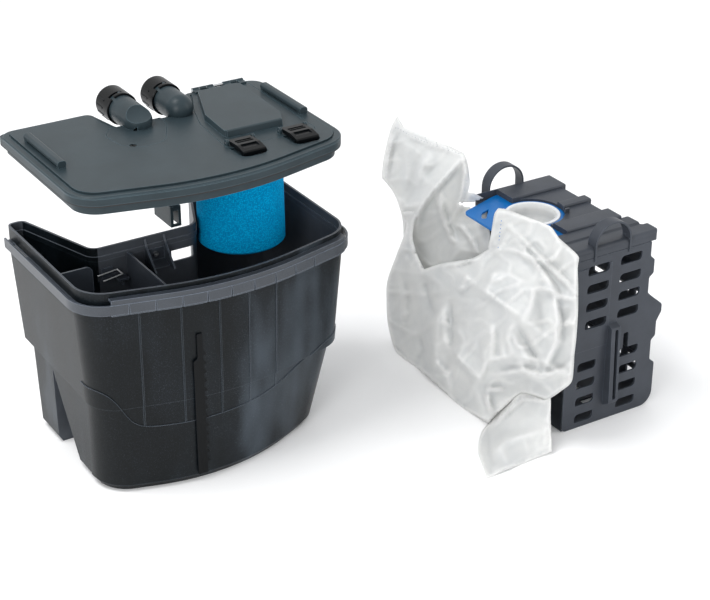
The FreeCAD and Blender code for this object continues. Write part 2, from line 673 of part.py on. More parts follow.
def outlet_channel_outline(grow=0.0):
    """The short flat duct from the outlet elbow to the top of the foam's support tube."""
    run = Vec(FOAM_X - PORT_RIGHT_X, FOAM_Y - ELBOW_Y, 0).normalize()
    side = Vec(-run.y, run.x, 0) * (DUCT_WIDTH / 2.0)
    start = Vec(PORT_RIGHT_X, ELBOW_Y, 0) - run * 6.0
    end = Vec(FOAM_X, FOAM_Y, 0) - run * (FOAM_BORE - 1.5)
    corners = [start - side, end - side, end + side, start + side]
    return offset_outline([(c.x, c.y, 2.0) for c in corners], grow)


def outlet_top():
    return HATCH_Z - 4.3


def outlet_channel():
    """The flat duct itself, open to the elbow above it and to the support tube at its end."""
    floor_z = FLANGE_Z + SEAL_HEIGHT
    outer = prism(outlet_channel_outline(), floor_z, outlet_top())
    run = Vec(FOAM_X - PORT_RIGHT_X, FOAM_Y - ELBOW_Y, 0).normalize()
    hollow = [(x + run.x * 4.0, y + run.y * 4.0, r) for x, y, r in outlet_channel_outline(-2.0)]
    inner = prism(hollow, floor_z + 1.6, outlet_top() - 1.6)
    inlet = upright(PORT_RIGHT_X, ELBOW_Y, 10.0, floor_z + 1.6, outlet_top() + 1.0)
    tube = along_y(PORT_RIGHT_X, PORT_Z, PORT_RADIUS - PORT_WALL, BORE_STOP_Y, TUB_BACK_Y)
    return outer.cut(inner).cut(inlet).cut(tube)


def outlet_port():
    """The second hose tube with its elbow down through the lid."""
    tube = along_y(PORT_RIGHT_X, PORT_Z, PORT_RADIUS, ELBOW_Y, PORT_END_Y)
    ball = Part.makeSphere(PORT_RADIUS, Vec(PORT_RIGHT_X, ELBOW_Y, PORT_Z))
    down = upright(PORT_RIGHT_X, ELBOW_Y, 12.5, outlet_top(), PORT_Z)
    inner = PORT_RADIUS - ELBOW_WALL
    bore = along_y(PORT_RIGHT_X, PORT_Z, PORT_RADIUS - PORT_WALL, BORE_STOP_Y, PORT_END_Y + 1.0)
    bore = bore.fuse(along_y(PORT_RIGHT_X, PORT_Z, inner, ELBOW_Y, BORE_STOP_Y + 1.0))
    bore = bore.fuse(Part.makeSphere(inner, Vec(PORT_RIGHT_X, ELBOW_Y, PORT_Z)))
    bore = bore.fuse(upright(PORT_RIGHT_X, ELBOW_Y, 10.0, outlet_top() - 1.0, PORT_Z))
    pin = upright(PORT_RIGHT_X, CUFF_SLOT_Y, PIN_RADIUS, PORT_Z + PORT_RADIUS - 1.0, PORT_Z + PORT_RADIUS + 2.6)
    body = join([tube, ball, down]).cut(bore)
    over_duct = prism(outlet_channel_outline(0.1), PORT_Z - 2.0 * PORT_RADIUS, outlet_top())
    return join([body.cut(over_duct), pin])


def hose_cuff(x):
    """A turning cuff with a bayonet slot."""
    bore = PORT_RADIUS + CUFF_FIT
    radius = PORT_RADIUS + CUFF_WALL
    body = along_y(x, PORT_Z, radius, CUFF_START_Y, CUFF_START_Y + CUFF_LENGTH)
    body = body.makeChamfer(0.8, [e for e in body.Edges if e.Curve.TypeId == "Part::GeomCircle"])
    body = body.cut(along_y(x, PORT_Z, bore, CUFF_START_Y - 1.0, CUFF_START_Y + CUFF_LENGTH + 1.0))
    half_slot = PIN_RADIUS + 0.4
    spare = math.degrees(half_slot / PORT_RADIUS) + 1.0
    middle = Vec(x, CUFF_SLOT_Y, PORT_Z)
    corners = [middle + Vec(0, side * half_slot, reach) for side, reach in
               ((-1.0, 5.0), (1.0, 5.0), (1.0, radius + 2.0), (-1.0, radius + 2.0), (-1.0, 5.0))]
    section = Part.Face(Part.makePolygon(corners))
    section.rotate(middle, Vec(0, 1, 0), spare)
    sector = section.revolve(middle, Vec(0, -1, 0), CUFF_TURN + 2.0 * spare)
    entry = box(x - half_slot, x + half_slot, CUFF_START_Y - 1.0, CUFF_SLOT_Y, PORT_Z + 5.0, PORT_Z + radius + 2.0)
    entry.rotate(Vec(x, CUFF_SLOT_Y, PORT_Z), Vec(0, 1, 0), -CUFF_TURN)
    rib_count = 10
    ribs = []
    for i in range(rib_count):
        angle = 150.0 + i * 240.0 / (rib_count - 1)
        rib = box(x + radius - 0.6, x + radius + 0.7, CUFF_START_Y + 16.0, CUFF_START_Y + CUFF_LENGTH - 3.0,
                  PORT_Z - 1.2, PORT_Z + 1.2)
        rib.rotate(Vec(x, 0, PORT_Z), Vec(0, -1, 0), angle)
        ribs.append(rib)
    return join([body.cut(sector).cut(entry)] + ribs)


def rear_duct():
    """The narrow hollow web under the lid, behind the tub's recessed wall."""
    y_back = NOTCH_FRONT_Y - LID_WALL - 0.6
    outline = [(-8.0, 12.0, 5.0), (8.0, 12.0, 5.0), (8.0, y_back, 5.0), (-8.0, y_back, 5.0)]
    z0 = TUB_HEIGHT - 3.0
    outer = prism(outline, z0, PLATE_Z)
    foot = [(-8.0, 12.0, 1.0), (8.0, 12.0, 1.0), (8.0, 16.0, 1.0), (-8.0, 16.0, 1.0)]
    inner = prism(offset_outline(outline, -2.2), z0 - 1.0, PLATE_Z - 3.0)
    mouth = box(-4.0, 4.0, 8.0, 20.0, z0 + 4.0, z0 + 24.0)
    return join([outer, prism(foot, z0, z0 + 30.0)]).cut(inner).cut(mouth)


def side_bar(x):
    """A raised grip bar along one end of the lid."""
    section = [(x - 3.0, PANEL_Z, 0.3), (x + 3.0, PANEL_Z, 0.3), (x + 3.0, PANEL_Z + 3.0, 0.6),
               (x + 6.0, PANEL_Z + 3.0, 0.8), (x + 6.0, PANEL_Z + 10.0, 4.0), (x - 6.0, PANEL_Z + 10.0, 4.0),
               (x - 6.0, PANEL_Z + 3.0, 0.8), (x - 3.0, PANEL_Z + 3.0, 0.6)]
    bar = slab_xz(section, -24.0, 88.0)
    ends = [box(x - 5.4, x + 5.4, y, y + 7.0, PANEL_Z, PANEL_Z + 7.0) for y in (-24.0, 81.0)]
    return join([bar] + ends)


# Foam filter under the lid

def foam_core():
    """The slotted support tube that carries the foam sleeve."""
    top_z = HATCH_Z - 4.3
    low_z = SKIRT_Z - FOAM_LENGTH + 3.0
    outer_r = FOAM_BORE - 1.0
    tube = upright(FOAM_X, FOAM_Y, outer_r, low_z, top_z)
    tube = tube.cut(upright(FOAM_X, FOAM_Y, outer_r - CORE_WALL, low_z + CORE_WALL, top_z + 1.0))
    flange = upright(FOAM_X, FOAM_Y, FOAM_BORE + 9.0, top_z - 3.0, top_z)
    flange = flange.cut(upright(FOAM_X, FOAM_Y, outer_r - CORE_WALL, top_z - 4.0, top_z + 1.0))
    windows = []
    rows = 4
    pitch = (SKIRT_Z - 12.0 - low_z - 10.0) / rows
    for row in range(rows):
        z0 = low_z + 9.0 + row * pitch
        for i in range(4):
            window = box(-outer_r - 5.0, outer_r + 5.0, -8.0, 8.0, z0, z0 + pitch - 8.0)
            window.rotate(Vec(0, 0, 0), Vec(0, 0, 1), 45.0 * i)
            window.translate(Vec(FOAM_X, FOAM_Y, 0))
            windows.append(window)
    core = join([tube, flange]).cut(windows[0].fuse(windows[1:]))
    return core.cut(prism(outlet_channel_outline(0.2), FLANGE_Z + SEAL_HEIGHT - 0.2, top_z + 1.0))


def foam_sleeve():
    """The foam cylinder itself: a soft sleeve, a little wider at its foot."""
    top_z = SKIRT_Z - 1.0
    low_z = top_z - FOAM_LENGTH
    profile = [Vec(FOAM_BORE, 0, low_z), Vec(FOAM_RADIUS - 3.0, 0, low_z), Vec(FOAM_RADIUS, 0, low_z + 3.0),
               Vec(FOAM_RADIUS - 1.0, 0, low_z + 0.5 * FOAM_LENGTH), Vec(FOAM_RADIUS - 1.0, 0, top_z),
               Vec(FOAM_BORE, 0, top_z), Vec(FOAM_BORE, 0, low_z)]
    sleeve = Part.Face(Part.makePolygon(profile)).revolve(Vec(0, 0, 0), Vec(0, 0, 1), 360)
    sleeve.translate(Vec(FOAM_X, FOAM_Y, 0))
    return sleeve


# Hatch, hinge and buckles

def hatch_cover():
    plate = prism(hatch_outline(), HATCH_Z, PANEL_Z)
    rise = tapered(hatch_box_outline(1.5), PANEL_Z - 1.0, hatch_box_outline(), PANEL_Z + HATCH_BOX_HEIGHT)
    hollow = prism(hatch_box_outline(-HATCH_BOX_WALL), HATCH_Z - 1.0, PANEL_Z + HATCH_BOX_HEIGHT - HATCH_BOX_WALL)
    lip = slab_yz([(-46.0, PANEL_Z, 0.3), (-40.0, PANEL_Z, 0.3), (-40.0, PANEL_Z + 10.0, 1.0),
                   (-44.0, PANEL_Z + 9.0, 1.5)], 54.0, 138.0)
    body = join([plate, rise, lip]).cut(hollow)
    half = KNUCKLE_WIDTH / 2.0
    for x in HATCH_KNUCKLES:
        arm = box(x - half, x + half, HINGE_Y - 12.0, HINGE_Y, HINGE_Z - 2.6, HINGE_Z + 1.2)
        barrel = along_x(HINGE_Y, HINGE_Z, 3.2, x - half, x + half)
        body = body.fuse(arm).fuse(barrel)
    for x in BUCKLE_X:
        for side in (-1.0, 1.0):
            ear_x = x + side * (BUCKLE_WIDTH / 2.0 + 2.4)
            ear = box(ear_x - 1.8, ear_x + 1.8, BUCKLE_Y - 4.0, BUCKLE_Y + 4.0, PANEL_Z - 0.5, BUCKLE_Z)
            body = body.fuse(ear).fuse(along_x(BUCKLE_Y, BUCKLE_Z, 4.0, ear_x - 1.8, ear_x + 1.8))
    body = body.removeSplitter()
    body = body.cut(along_x(HINGE_Y, HINGE_Z, HINGE_PIN_RADIUS + HINGE_FIT, 80.0, 190.0))
    for x in BUCKLE_X:
        reach = BUCKLE_WIDTH / 2.0 + 6.0
        body = body.cut(along_x(BUCKLE_Y, BUCKLE_Z, BUCKLE_PIN_RADIUS, x - reach, x + reach))
    return body


def hinge_pin():
    half = KNUCKLE_WIDTH / 2.0
    return along_x(HINGE_Y, HINGE_Z, HINGE_PIN_RADIUS, HATCH_KNUCKLES[0] - half, HATCH_KNUCKLES[-1] + half)


def buckle_pins():
    reach = BUCKLE_WIDTH / 2.0 + 4.2
    pins = [along_x(BUCKLE_Y, BUCKLE_Z, BUCKLE_PIN_RADIUS, x - reach, x + reach) for x in BUCKLE_X]
    return Part.makeCompound(pins)


def buckle(x):
    """A lever with two windows whose foot drops in front of the hatch."""
    half = BUCKLE_WIDTH / 2.0
    y_end = BUCKLE_Y - BUCKLE_LENGTH
    section = [(BUCKLE_Y + 2.6, BUCKLE_Z - 2.4, 1.0), (BUCKLE_Y + 2.6, BUCKLE_Z + 2.6, 1.6),
               (BUCKLE_Y - 24.0, BUCKLE_Z + 3.6, 12.0), (y_end, BUCKLE_Z + 0.5, 2.0),
               (y_end, PANEL_Z - 2.0, 0.8), (y_end + 5.0, PANEL_Z - 2.0, 0.8), (y_end + 7.0, BUCKLE_Z - 2.6, 1.2)]
    lever = slab_yz(list(reversed(section)), x - half, x + half)
    window = box(x - half + 5.0, x + half - 5.0, BUCKLE_Y - 17.0, BUCKLE_Y - 7.0, PANEL_Z - 5.0, PANEL_Z + 20.0)
    grip = box(x - half + 5.0, x + half - 5.0, y_end + 9.0, y_end + 19.0, BUCKLE_Z + 1.4, PANEL_Z + 20.0)
    bar = along_x(BUCKLE_Y - 12.0, BUCKLE_Z + 1.4, 2.0, x - half + 4.0, x + half - 4.0)
    lever = join([lever.cut(window).cut(grip), bar])
    return lever.cut(along_x(BUCKLE_Y, BUCKLE_Z, BUCKLE_PIN_RADIUS + HINGE_FIT, x - half - 1.0, x + half + 1.0))


# Filter cage with its deck and loops

def slot(x, z, length, y):
    """A slot with two opposite corners well rounded."""
    z1 = z + SLOT_HEIGHT
    outline = [(x, z, 1.2), (x + length, z, 5.5), (x + length, z1, 1.2), (x, z1, 5.5)]
    return slab_xz(outline, y - 1.0, y + CAGE_WALL + 1.0)


def cage_side(y):
    """One slotted side wall."""
    right = CAGE_RIGHT - CAGE_WALL - 0.2
    top = DECK_Z - 7.3
    wall = slab_xz([(CAGE_X, 0.0, 7.0), (right, 0.0, 24.0), (right, top, 1.0), (CAGE_X, top, 1.0)],
                   y, y + CAGE_WALL)
    cuts = []
    for row in range(4):
        z_high = 158.0 + 28.0 * row
        z_low = 12.0 + 27.0 * row
        cuts.append(slot(CAGE_X + 29.0, z_high, SLOT_LENGTH, y))
        cuts.append(slot(CAGE_X + 87.0, z_high + 2.0, SLOT_LENGTH, y))
        cuts.append(slot(CAGE_X + 21.0, z_low, SLOT_LENGTH - 5.0, y))
        cuts.append(slot(CAGE_X + 96.0, z_low + 3.0, SLOT_LENGTH - 4.0, y))
    cuts.append(box(CAGE_X + 101.0, CAGE_X + 111.0, y - 1.0, y + CAGE_WALL + 1.0, 122.0, 140.0))
    return wall.cut(cuts[0].fuse(cuts[1:]))


def cage_side_near():
    """The near wall, with an upright guide channel on its outside."""
    wall = cage_side(CAGE_Y)
    outline = [(CAGE_X + 68.0, 24.0, 3.0), (CAGE_X + 92.0, 24.0, 3.0), (CAGE_X + 92.0, 150.0, 11.0),
               (CAGE_X + 68.0, 150.0, 11.0)]
    inner = [(CAGE_X + 82.0, 20.0, 1.0), (CAGE_X + 88.5, 20.0, 1.0), (CAGE_X + 88.5, 143.0, 3.1),
             (CAGE_X + 82.0, 143.0, 3.1)]
    groove = [(CAGE_X + 71.0, 27.0, 2.0), (CAGE_X + 79.5, 27.0, 2.0), (CAGE_X + 79.5, 146.0, 4.0),
              (CAGE_X + 71.0, 146.0, 4.0)]
    guide = slab_xz(outline, CAGE_Y - 6.0, CAGE_Y)
    guide = guide.cut(slab_xz(inner, CAGE_Y - 7.0, CAGE_Y + 1.0)).cut(slab_xz(groove, CAGE_Y - 7.0, CAGE_Y - 1.8))
    wall = wall.cut(slab_xz(inner, CAGE_Y - 1.0, CAGE_Y + CAGE_WALL + 1.0))
    pad_top = DECK_Z - 27.0
    pad = slab_xz([(CAGE_X, 127.0, 0.5), (CAGE_X + 68.0, 127.0, 0.5), (CAGE_X + 68.0, pad_top, 0.5),
                   (CAGE_X, pad_top, 0.5)], CAGE_Y - 1.2, CAGE_Y)
    for row in range(4):
        pad = pad.cut(slot(CAGE_X + 29.0, 158.0 + 28.0 * row, SLOT_LENGTH, CAGE_Y - CAGE_WALL))
    return join([wall, guide, pad])


def back_path():
    """Floor and corrugated back in one line, as (x, z, radius)."""
    x = CAGE_RIGHT
    path = [(CAGE_X, 0.0, 1.0), (x, 0.0, 26.0)]
    for z0, z1, bulge in ((26.0, 92.0, 5.0), (116.0, 182.0, 11.0), (212.0, 246.0, 5.0)):
        path += [(x, z0, 3.5), (x + bulge, z0 + 7.0, 5.0), (x + bulge, z1 - 7.0, 5.0), (x, z1, 3.5)]
    path += [(x, 260.0, 3.5), (x + 8.0, 266.0, 6.0), (x + 8.0, 292.0, 9.0), (x - 14.0, 292.0, 1.0)]
    return path


def cage_back():
    """The bent wall that makes the cage's floor, round corner and corrugated back."""
    outer = back_path()
    inner = offset_outline(outer, -CAGE_WALL)
    inner[0] = (CAGE_X, CAGE_WALL, 1.0)
    inner[-1] = (CAGE_RIGHT - 14.0, 292.0 - CAGE_WALL, 1.0)
    wire = rounded_wire(outer + list(reversed(inner)), lambda u, v: Vec(u, CAGE_Y + CAGE_WALL + 0.2, v))
    wall = Part.Face(wire).extrude(Vec(0, CAGE_DEPTH - 2.0 * CAGE_WALL - 0.4, 0))
    cuts = []
    for row in range(4):
        y0 = CAGE_Y + 22.0 + row * 48.0
        for z0 in (34.0, 62.0):
            cuts.append(box(CAGE_RIGHT - 10.0, CAGE_RIGHT + 10.0, y0, y0 + 34.0, z0, z0 + 12.0))
        for x0 in (CAGE_X + 22.0, CAGE_X + 62.0):
            cuts.append(box(x0, x0 + 26.0, y0, y0 + 34.0, -1.0, CAGE_WALL + 1.0))
        cuts.append(box(CAGE_RIGHT - 10.0, CAGE_RIGHT + 16.0, y0, y0 + 34.0, 138.0, 158.0))
    return wall.cut(cuts[0].fuse(cuts[1:]))


def cage_deck():
    """The stepped top deck with the rails for the collar."""
    y0 = CAGE_Y
    y1 = CAGE_BACK
    near = y0 + 56.0
    rail_top = COLLAR_Z - 0.4
    rail_low = DECK_Z - 7.0
    under = COLLAR_Z + COLLAR_THICKNESS + 0.5
    wall = CAGE_WALL
    outline = [
        (y0, rail_low, 1.0), (y0 + 59.0 + 7.0, rail_low, 0.6), (y0 + 59.0 + 7.0, rail_top, 0.6),
        (near + wall, rail_top, 0.4), (near + wall, under, 0.4), (y1 - wall, under, 0.4),
        (y1 - wall, rail_top, 0.4), (y1 - wall - 8.0, rail_top, 0.6), (y1 - wall - 8.0, rail_low, 0.6),
        (y1, rail_low, 1.0), (y1, DECK_Z + 11.0, 3.5), (y1 - 41.0, DECK_Z + 11.0, 2.0),
        (y1 - 42.5, DECK_Z + 8.0, 1.0), (y1 - 86.0, DECK_Z + 8.0, 1.0), (y1 - 87.5, DECK_Z + 10.0, 1.0),
        (y1 - 103.0, DECK_Z + 10.0, 1.0), (y1 - 104.5, DECK_Z + 8.0, 1.0), (y1 - 142.0, DECK_Z + 8.0, 1.0),
        (y1 - 143.5, DECK_Z + 10.0, 1.0), (near, DECK_Z + 10.0, 2.0), (near, DECK_Z, 0.6),
        (y0 + 29.0, DECK_Z, 0.8), (y0 + 27.5, DECK_Z + 3.0, 1.5), (y0, DECK_Z + 3.0, 6.0),
    ]
    x_end = CAGE_RIGHT - 14.5
    deck = slab_yz(outline, CAGE_X, x_end)
    deck = deck.cut(box(CAGE_X - 1.0, CAGE_X + 33.0, near - 0.01, y1 + 1.0, rail_top, DECK_Z + 20.0))
    deck = deck.cut(upright(RING_X, RING_Y, RING_RADIUS + 6.0, rail_top, DECK_Z + 20.0))
    lug = box(RING_X + 30.0, RING_X + 42.0, RING_Y - 44.0, RING_Y - 32.0, DECK_Z + 6.0, DECK_Z + 13.0)
    lug = lug.cut(box(RING_X + 33.0, RING_X + 43.0, RING_Y - 41.0, RING_Y - 35.0, DECK_Z + 9.0, DECK_Z + 14.0))
    return join([deck, lug.cut(upright(RING_X, RING_Y, RING_RADIUS + 6.0, rail_top, DECK_Z + 20.0))])


def carry_loop(x, y, z_leg, z_arch, half_span, width):
    """A flat strap bent to an arch."""
    thick = 2.2
    outer = half_span + thick / 2.0
    inner = half_span - thick / 2.0
    arch = Part.makeCylinder(outer, width, Vec(x, y, z_arch), Vec(0, 1, 0))
    arch = arch.cut(Part.makeCylinder(inner, width + 2.0, Vec(x, y - 1.0, z_arch), Vec(0, 1, 0)))
    arch = arch.cut(box(x - 60.0, x + 60.0, y - 1.0, y + width + 1.0, z_arch - 60.0, z_arch))
    legs = [box(x + side * half_span - thick / 2.0, x + side * half_span + thick / 2.0, y, y + width, z_leg,
                z_arch + 0.1) for side in (-1.0, 1.0)]
    return join([arch] + legs)


def loop_near():
    loop = carry_loop(CAGE_X + 79.0, CAGE_Y - 10.0, DECK_Z - 22.0, DECK_Z - 1.0, 31.0, 9.8)
    feet = [box(CAGE_X + 79.0 + side * 31.0 - 4.0, CAGE_X + 79.0 + side * 31.0 + 4.0, CAGE_Y - 10.0, CAGE_Y,
                DECK_Z - 26.0, DECK_Z - 20.0) for side in (-1.0, 1.0)]
    return join([loop] + feet)


def loop_far():
    z_foot = DECK_Z + 11.0
    loop = carry_loop(CAGE_X + 45.0 + 22.0, CAGE_BACK - 12.0, z_foot, z_foot + 8.0, 32.0, 11.0)
    return loop


# Collar, ring and bag

def collar_hole(grow=0.0):
    return upright(RING_X, RING_Y, RING_BORE + grow, COLLAR_Z - 10.0, COLLAR_Z + 20.0)


def collar_plate():
    """The blue plate that slides into the rails and holds the bag's mouth."""
    y0 = CAGE_Y + 56.0 + CAGE_WALL + 0.4
    y1 = CAGE_BACK - CAGE_WALL - 0.4
    x0 = CAGE_X - 46.0
    x1 = CAGE_X + 98.0
    outline = [(x0, y0 + 10.0, 14.0), (x0 + 12.0, y0, 14.0), (x1, y0, 12.0), (x1, y1, 12.0), (x0 + 70.0, y1, 30.0),
               (x0, y1 - 24.0, 10.0)]
    plate = prism(outline, COLLAR_Z, COLLAR_Z + COLLAR_THICKNESS)
    rim = upright(RING_X, RING_Y, RING_RADIUS + 4.5, COLLAR_Z, COLLAR_Z + COLLAR_THICKNESS + 1.5)
    rim = rim.cut(upright(RING_X, RING_Y, RING_RADIUS + 0.2, COLLAR_Z - 1.0, COLLAR_Z + 12.0))
    seat = upright(RING_X, RING_Y, RING_RADIUS + 0.2, COLLAR_Z + COLLAR_THICKNESS - 1.2, COLLAR_Z + 12.0)
    outer = upright(x0 + 32.0, RING_Y + 22.0, 15.0, COLLAR_Z - 1.0, COLLAR_Z + 10.0)
    crescent = outer.cut(upright(x0 + 40.0, RING_Y + 14.0, 15.0, COLLAR_Z - 2.0, COLLAR_Z + 11.0))
    return join([plate, rim]).cut(collar_hole()).cut(seat).cut(crescent)


def collar_ring():
    """The soft ring that seals the bag on the inlet stub."""
    z0 = COLLAR_Z + COLLAR_THICKNESS - 1.2
    ring = upright(RING_X, RING_Y, RING_RADIUS, z0, z0 + 4.0)
    ring = ring.makeChamfer(1.2, [e for e in ring.Edges if is_level(e, z0 + 4.0)])
    return ring.cut(upright(RING_X, RING_Y, RING_BORE - 7.0, z0 - 1.0, z0 + 6.0))


def bag_section(x, share):
    """The bag's side view at one x, drawn in towards the bag's middle by a share."""
    outline = [
        (-246.0, 2.0, 10.0), (40.0, 1.0, 34.0), (73.0, 40.0, 36.0), (73.0, 108.0, 40.0), (47.0, 156.0, 30.0),
        (48.0, 216.0, 16.0), (-62.0, 170.0, 50.0), (-182.0, 236.0, 30.0), (-212.0, 324.0, 8.0),
        (-298.0, 327.0, 24.0), (-352.0, 300.0, 24.0), (-362.0, 140.0, 60.0), (-338.0, 76.0, 24.0),
        (-270.0, 70.0, 24.0),
    ]
    placed = [(BAG_MIDDLE_Y + (y - BAG_MIDDLE_Y) * share, BAG_MIDDLE_Z + (z - BAG_MIDDLE_Z) * share, r * share)
              for y, z, r in outline]
    return rounded_wire(placed, lambda u, v: Vec(x, u, v))


def filter_bag():
    """The fleece bag, as a full soft body hanging in front of the cage's open face."""
    x_back = CAGE_X - 3.0
    depths = ((x_back, 0.96), (x_back - 6.0, 1.0), (x_back - 44.0, 1.0), (x_back - 68.0, 0.88),
              (x_back - 84.0, 0.62), (x_back - 94.0, 0.34))
    body = Part.makeLoft([bag_section(x, share) for x, share in depths], True, True)
    ear = [(46.0, 150.0, 8.0), (112.0, 284.0, 12.0), (80.0, 357.0, 10.0), (-92.0, 361.0, 8.0), (-108.0, 322.0, 8.0),
           (-76.0, 150.0, 8.0)]
    panel = slab_yz(ear, BAG_EAR_X - BAG_EAR_THICKNESS / 2.0, BAG_EAR_X + BAG_EAR_THICKNESS / 2.0)
    near = [(-350.0, 1.0, 3.0), (-240.0, 1.0, 6.0), (-252.0, 84.0, 20.0), (-340.0, 84.0, 20.0)]
    tip = [(-350.0, 1.0, 2.0), (-344.0, 1.0, 2.0), (-344.0, 12.0, 2.0), (-350.0, 12.0, 2.0)]
    flap_wires = [rounded_wire(near, lambda u, v: Vec(x_back - 24.0, u, v)),
                  rounded_wire(tip, lambda u, v: Vec(BAG_FLAP_TIP_X, u, v))]
    foot = Part.makeLoft(flap_wires, True, True)
    neck = box(x_back - 8.0, RING_X + 26.0, RING_Y - 34.0, RING_Y + 34.0, COLLAR_Z - 46.0, COLLAR_Z - SOFT_GAP)
    body = join([body, panel, foot, neck])
    near_edge = CAGE_Y + 56.0 + CAGE_WALL - SOFT_GAP
    clear = box(CAGE_X - 47.0, CAGE_X + 99.0, near_edge, CAGE_BACK - CAGE_WALL + SOFT_GAP, COLLAR_Z - SOFT_GAP,
                COLLAR_Z + COLLAR_THICKNESS + 1.5)
    return largest(body.cut(clear))


def largest(shape):
    """Keeps the biggest solid of a cut body."""
    return max(shape.Solids, key=lambda s: s.Volume)


def main():
    os.makedirs("parts", exist_ok=True)
    save("tub_shell", tub_shell())
    save("rim_band", rim_band())
    save("divider", divider())
    save("baffle_panel", baffle_panel())
    save("wall_bracket", wall_bracket())
    save("bracket_screw", bracket_screw())
    save("spring_clip", spring_clip())
    save("clip_saddle", clip_saddle())
    save("level_strip", level_strip())
    save("lid_shell", lid_shell())
    save("lid_flange", lid_flange())
    save("lid_skirt", lid_skirt())
    save("lid_seal", lid_seal())
    save("inlet_port", inlet_port())
    save("inlet_catch", inlet_catch())
    save("inlet_channel", inlet_channel())
    save("outlet_port", outlet_port())
    save("outlet_channel", outlet_channel())
    save("cuff_left", hose_cuff(PORT_LEFT_X))
    save("cuff_right", hose_cuff(PORT_RIGHT_X))
    save("rear_duct", rear_duct())
    save("side_bar_left", side_bar(BAR_LEFT_X))
    save("side_bar_right", side_bar(BAR_RIGHT_X))
    save("foam_core", foam_core())
    save("foam_sleeve", foam_sleeve())
    save("hatch_cover", hatch_cover())
    save("hatch_seal", hatch_seal())
    save("hinge_pin", hinge_pin())
    save("buckle_left", buckle(BUCKLE_X[0]))
    save("buckle_right", buckle(BUCKLE_X[1]))
    save("buckle_pins", buckle_pins())
    save("cage_side_near", cage_side_near())
    save("cage_side_far", cage_side(CAGE_BACK - CAGE_WALL))
    save("cage_back", cage_back())
    save("cage_deck", cage_deck())
    save("loop_near", loop_near())
    save("loop_far", loop_far())
    save("collar_plate", collar_plate())
    save("collar_ring", collar_ring())
    save("filter_bag", filter_bag())


main()
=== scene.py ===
import bpy
import bmesh
import json
import math
import numpy as np
from mathutils import Matrix, Vector, noise
from mathutils.geometry import delaunay_2d_cdt

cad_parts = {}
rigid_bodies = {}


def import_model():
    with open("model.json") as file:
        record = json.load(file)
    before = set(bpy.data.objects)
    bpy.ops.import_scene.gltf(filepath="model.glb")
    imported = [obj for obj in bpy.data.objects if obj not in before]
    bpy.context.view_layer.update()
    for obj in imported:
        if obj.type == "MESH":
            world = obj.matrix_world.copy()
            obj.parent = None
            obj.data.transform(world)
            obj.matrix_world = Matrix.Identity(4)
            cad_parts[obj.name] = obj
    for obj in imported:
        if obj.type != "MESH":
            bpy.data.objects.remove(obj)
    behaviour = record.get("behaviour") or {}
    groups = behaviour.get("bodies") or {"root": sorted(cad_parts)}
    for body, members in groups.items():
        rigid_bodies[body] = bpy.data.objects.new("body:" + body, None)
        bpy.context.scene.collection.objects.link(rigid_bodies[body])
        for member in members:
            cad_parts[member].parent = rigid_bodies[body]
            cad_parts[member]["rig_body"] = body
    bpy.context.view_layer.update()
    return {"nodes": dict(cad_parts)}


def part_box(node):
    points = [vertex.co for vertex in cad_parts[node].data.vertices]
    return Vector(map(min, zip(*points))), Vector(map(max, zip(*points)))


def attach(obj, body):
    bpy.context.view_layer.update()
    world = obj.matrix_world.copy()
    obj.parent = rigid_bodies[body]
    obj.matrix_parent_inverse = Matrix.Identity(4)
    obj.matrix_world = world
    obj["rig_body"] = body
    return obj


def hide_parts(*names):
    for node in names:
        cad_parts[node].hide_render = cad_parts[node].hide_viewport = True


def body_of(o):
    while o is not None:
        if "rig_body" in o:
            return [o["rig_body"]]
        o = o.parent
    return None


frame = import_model()
NODES = frame["nodes"]


def add_object(name, data):
    """A new object in the scene with that mesh, lamp or camera."""
    obj = bpy.data.objects.new(name, data)
    bpy.context.scene.collection.objects.link(obj)
    return obj


# Camera at the photograph's angle: azimuth and elevation in degrees, place in metres
AZIMUTH = math.radians(-31.68)
ELEVATION = math.radians(27.54)
FOCAL = 1829.02
IMAGE_W, IMAGE_H = 710.0, 600.0
SENSOR_WIDTH = 36.0
CAMERA_PLACE = Vector((-0.98741, -1.99532, 1.37584))
CAMERA_BACK = Vector((math.sin(AZIMUTH) * math.cos(ELEVATION), -math.cos(AZIMUTH) * math.cos(ELEVATION),
                      math.sin(ELEVATION)))
CAMERA_RIGHT = Vector((math.cos(AZIMUTH), math.sin(AZIMUTH), 0.0))
CAMERA_UP = CAMERA_BACK.cross(CAMERA_RIGHT)


def make_camera():
    data = bpy.data.cameras.new("camera")
    cam = add_object("camera", data)
    turn = Matrix((CAMERA_RIGHT, CAMERA_UP, CAMERA_BACK)).transposed()
    cam.matrix_world = Matrix.Translation(CAMERA_PLACE) @ turn.to_4x4()
    data.lens = FOCAL / IMAGE_W * SENSOR_WIDTH
    data.sensor_width = SENSOR_WIDTH
    data.clip_start = 0.05
    data.clip_end = 50.0
    bpy.context.scene.camera = cam


def sight(px, py):
    """The direction in which the camera sees a pixel of the 710 by 600 picture."""
    u = (px - IMAGE_W / 2.0) / FOCAL
    v = (IMAGE_H / 2.0 - py) / FOCAL
    return CAMERA_RIGHT * u + CAMERA_UP * v - CAMERA_BACK


def on_plane(px, py, axis, value):
    """Where the sight line of a pixel meets the plane on which one coordinate has that value."""
    d = sight(px, py)
    t = (value - CAMERA_PLACE[axis]) / d[axis]
    return CAMERA_PLACE + d * t


make_camera()


# Materials

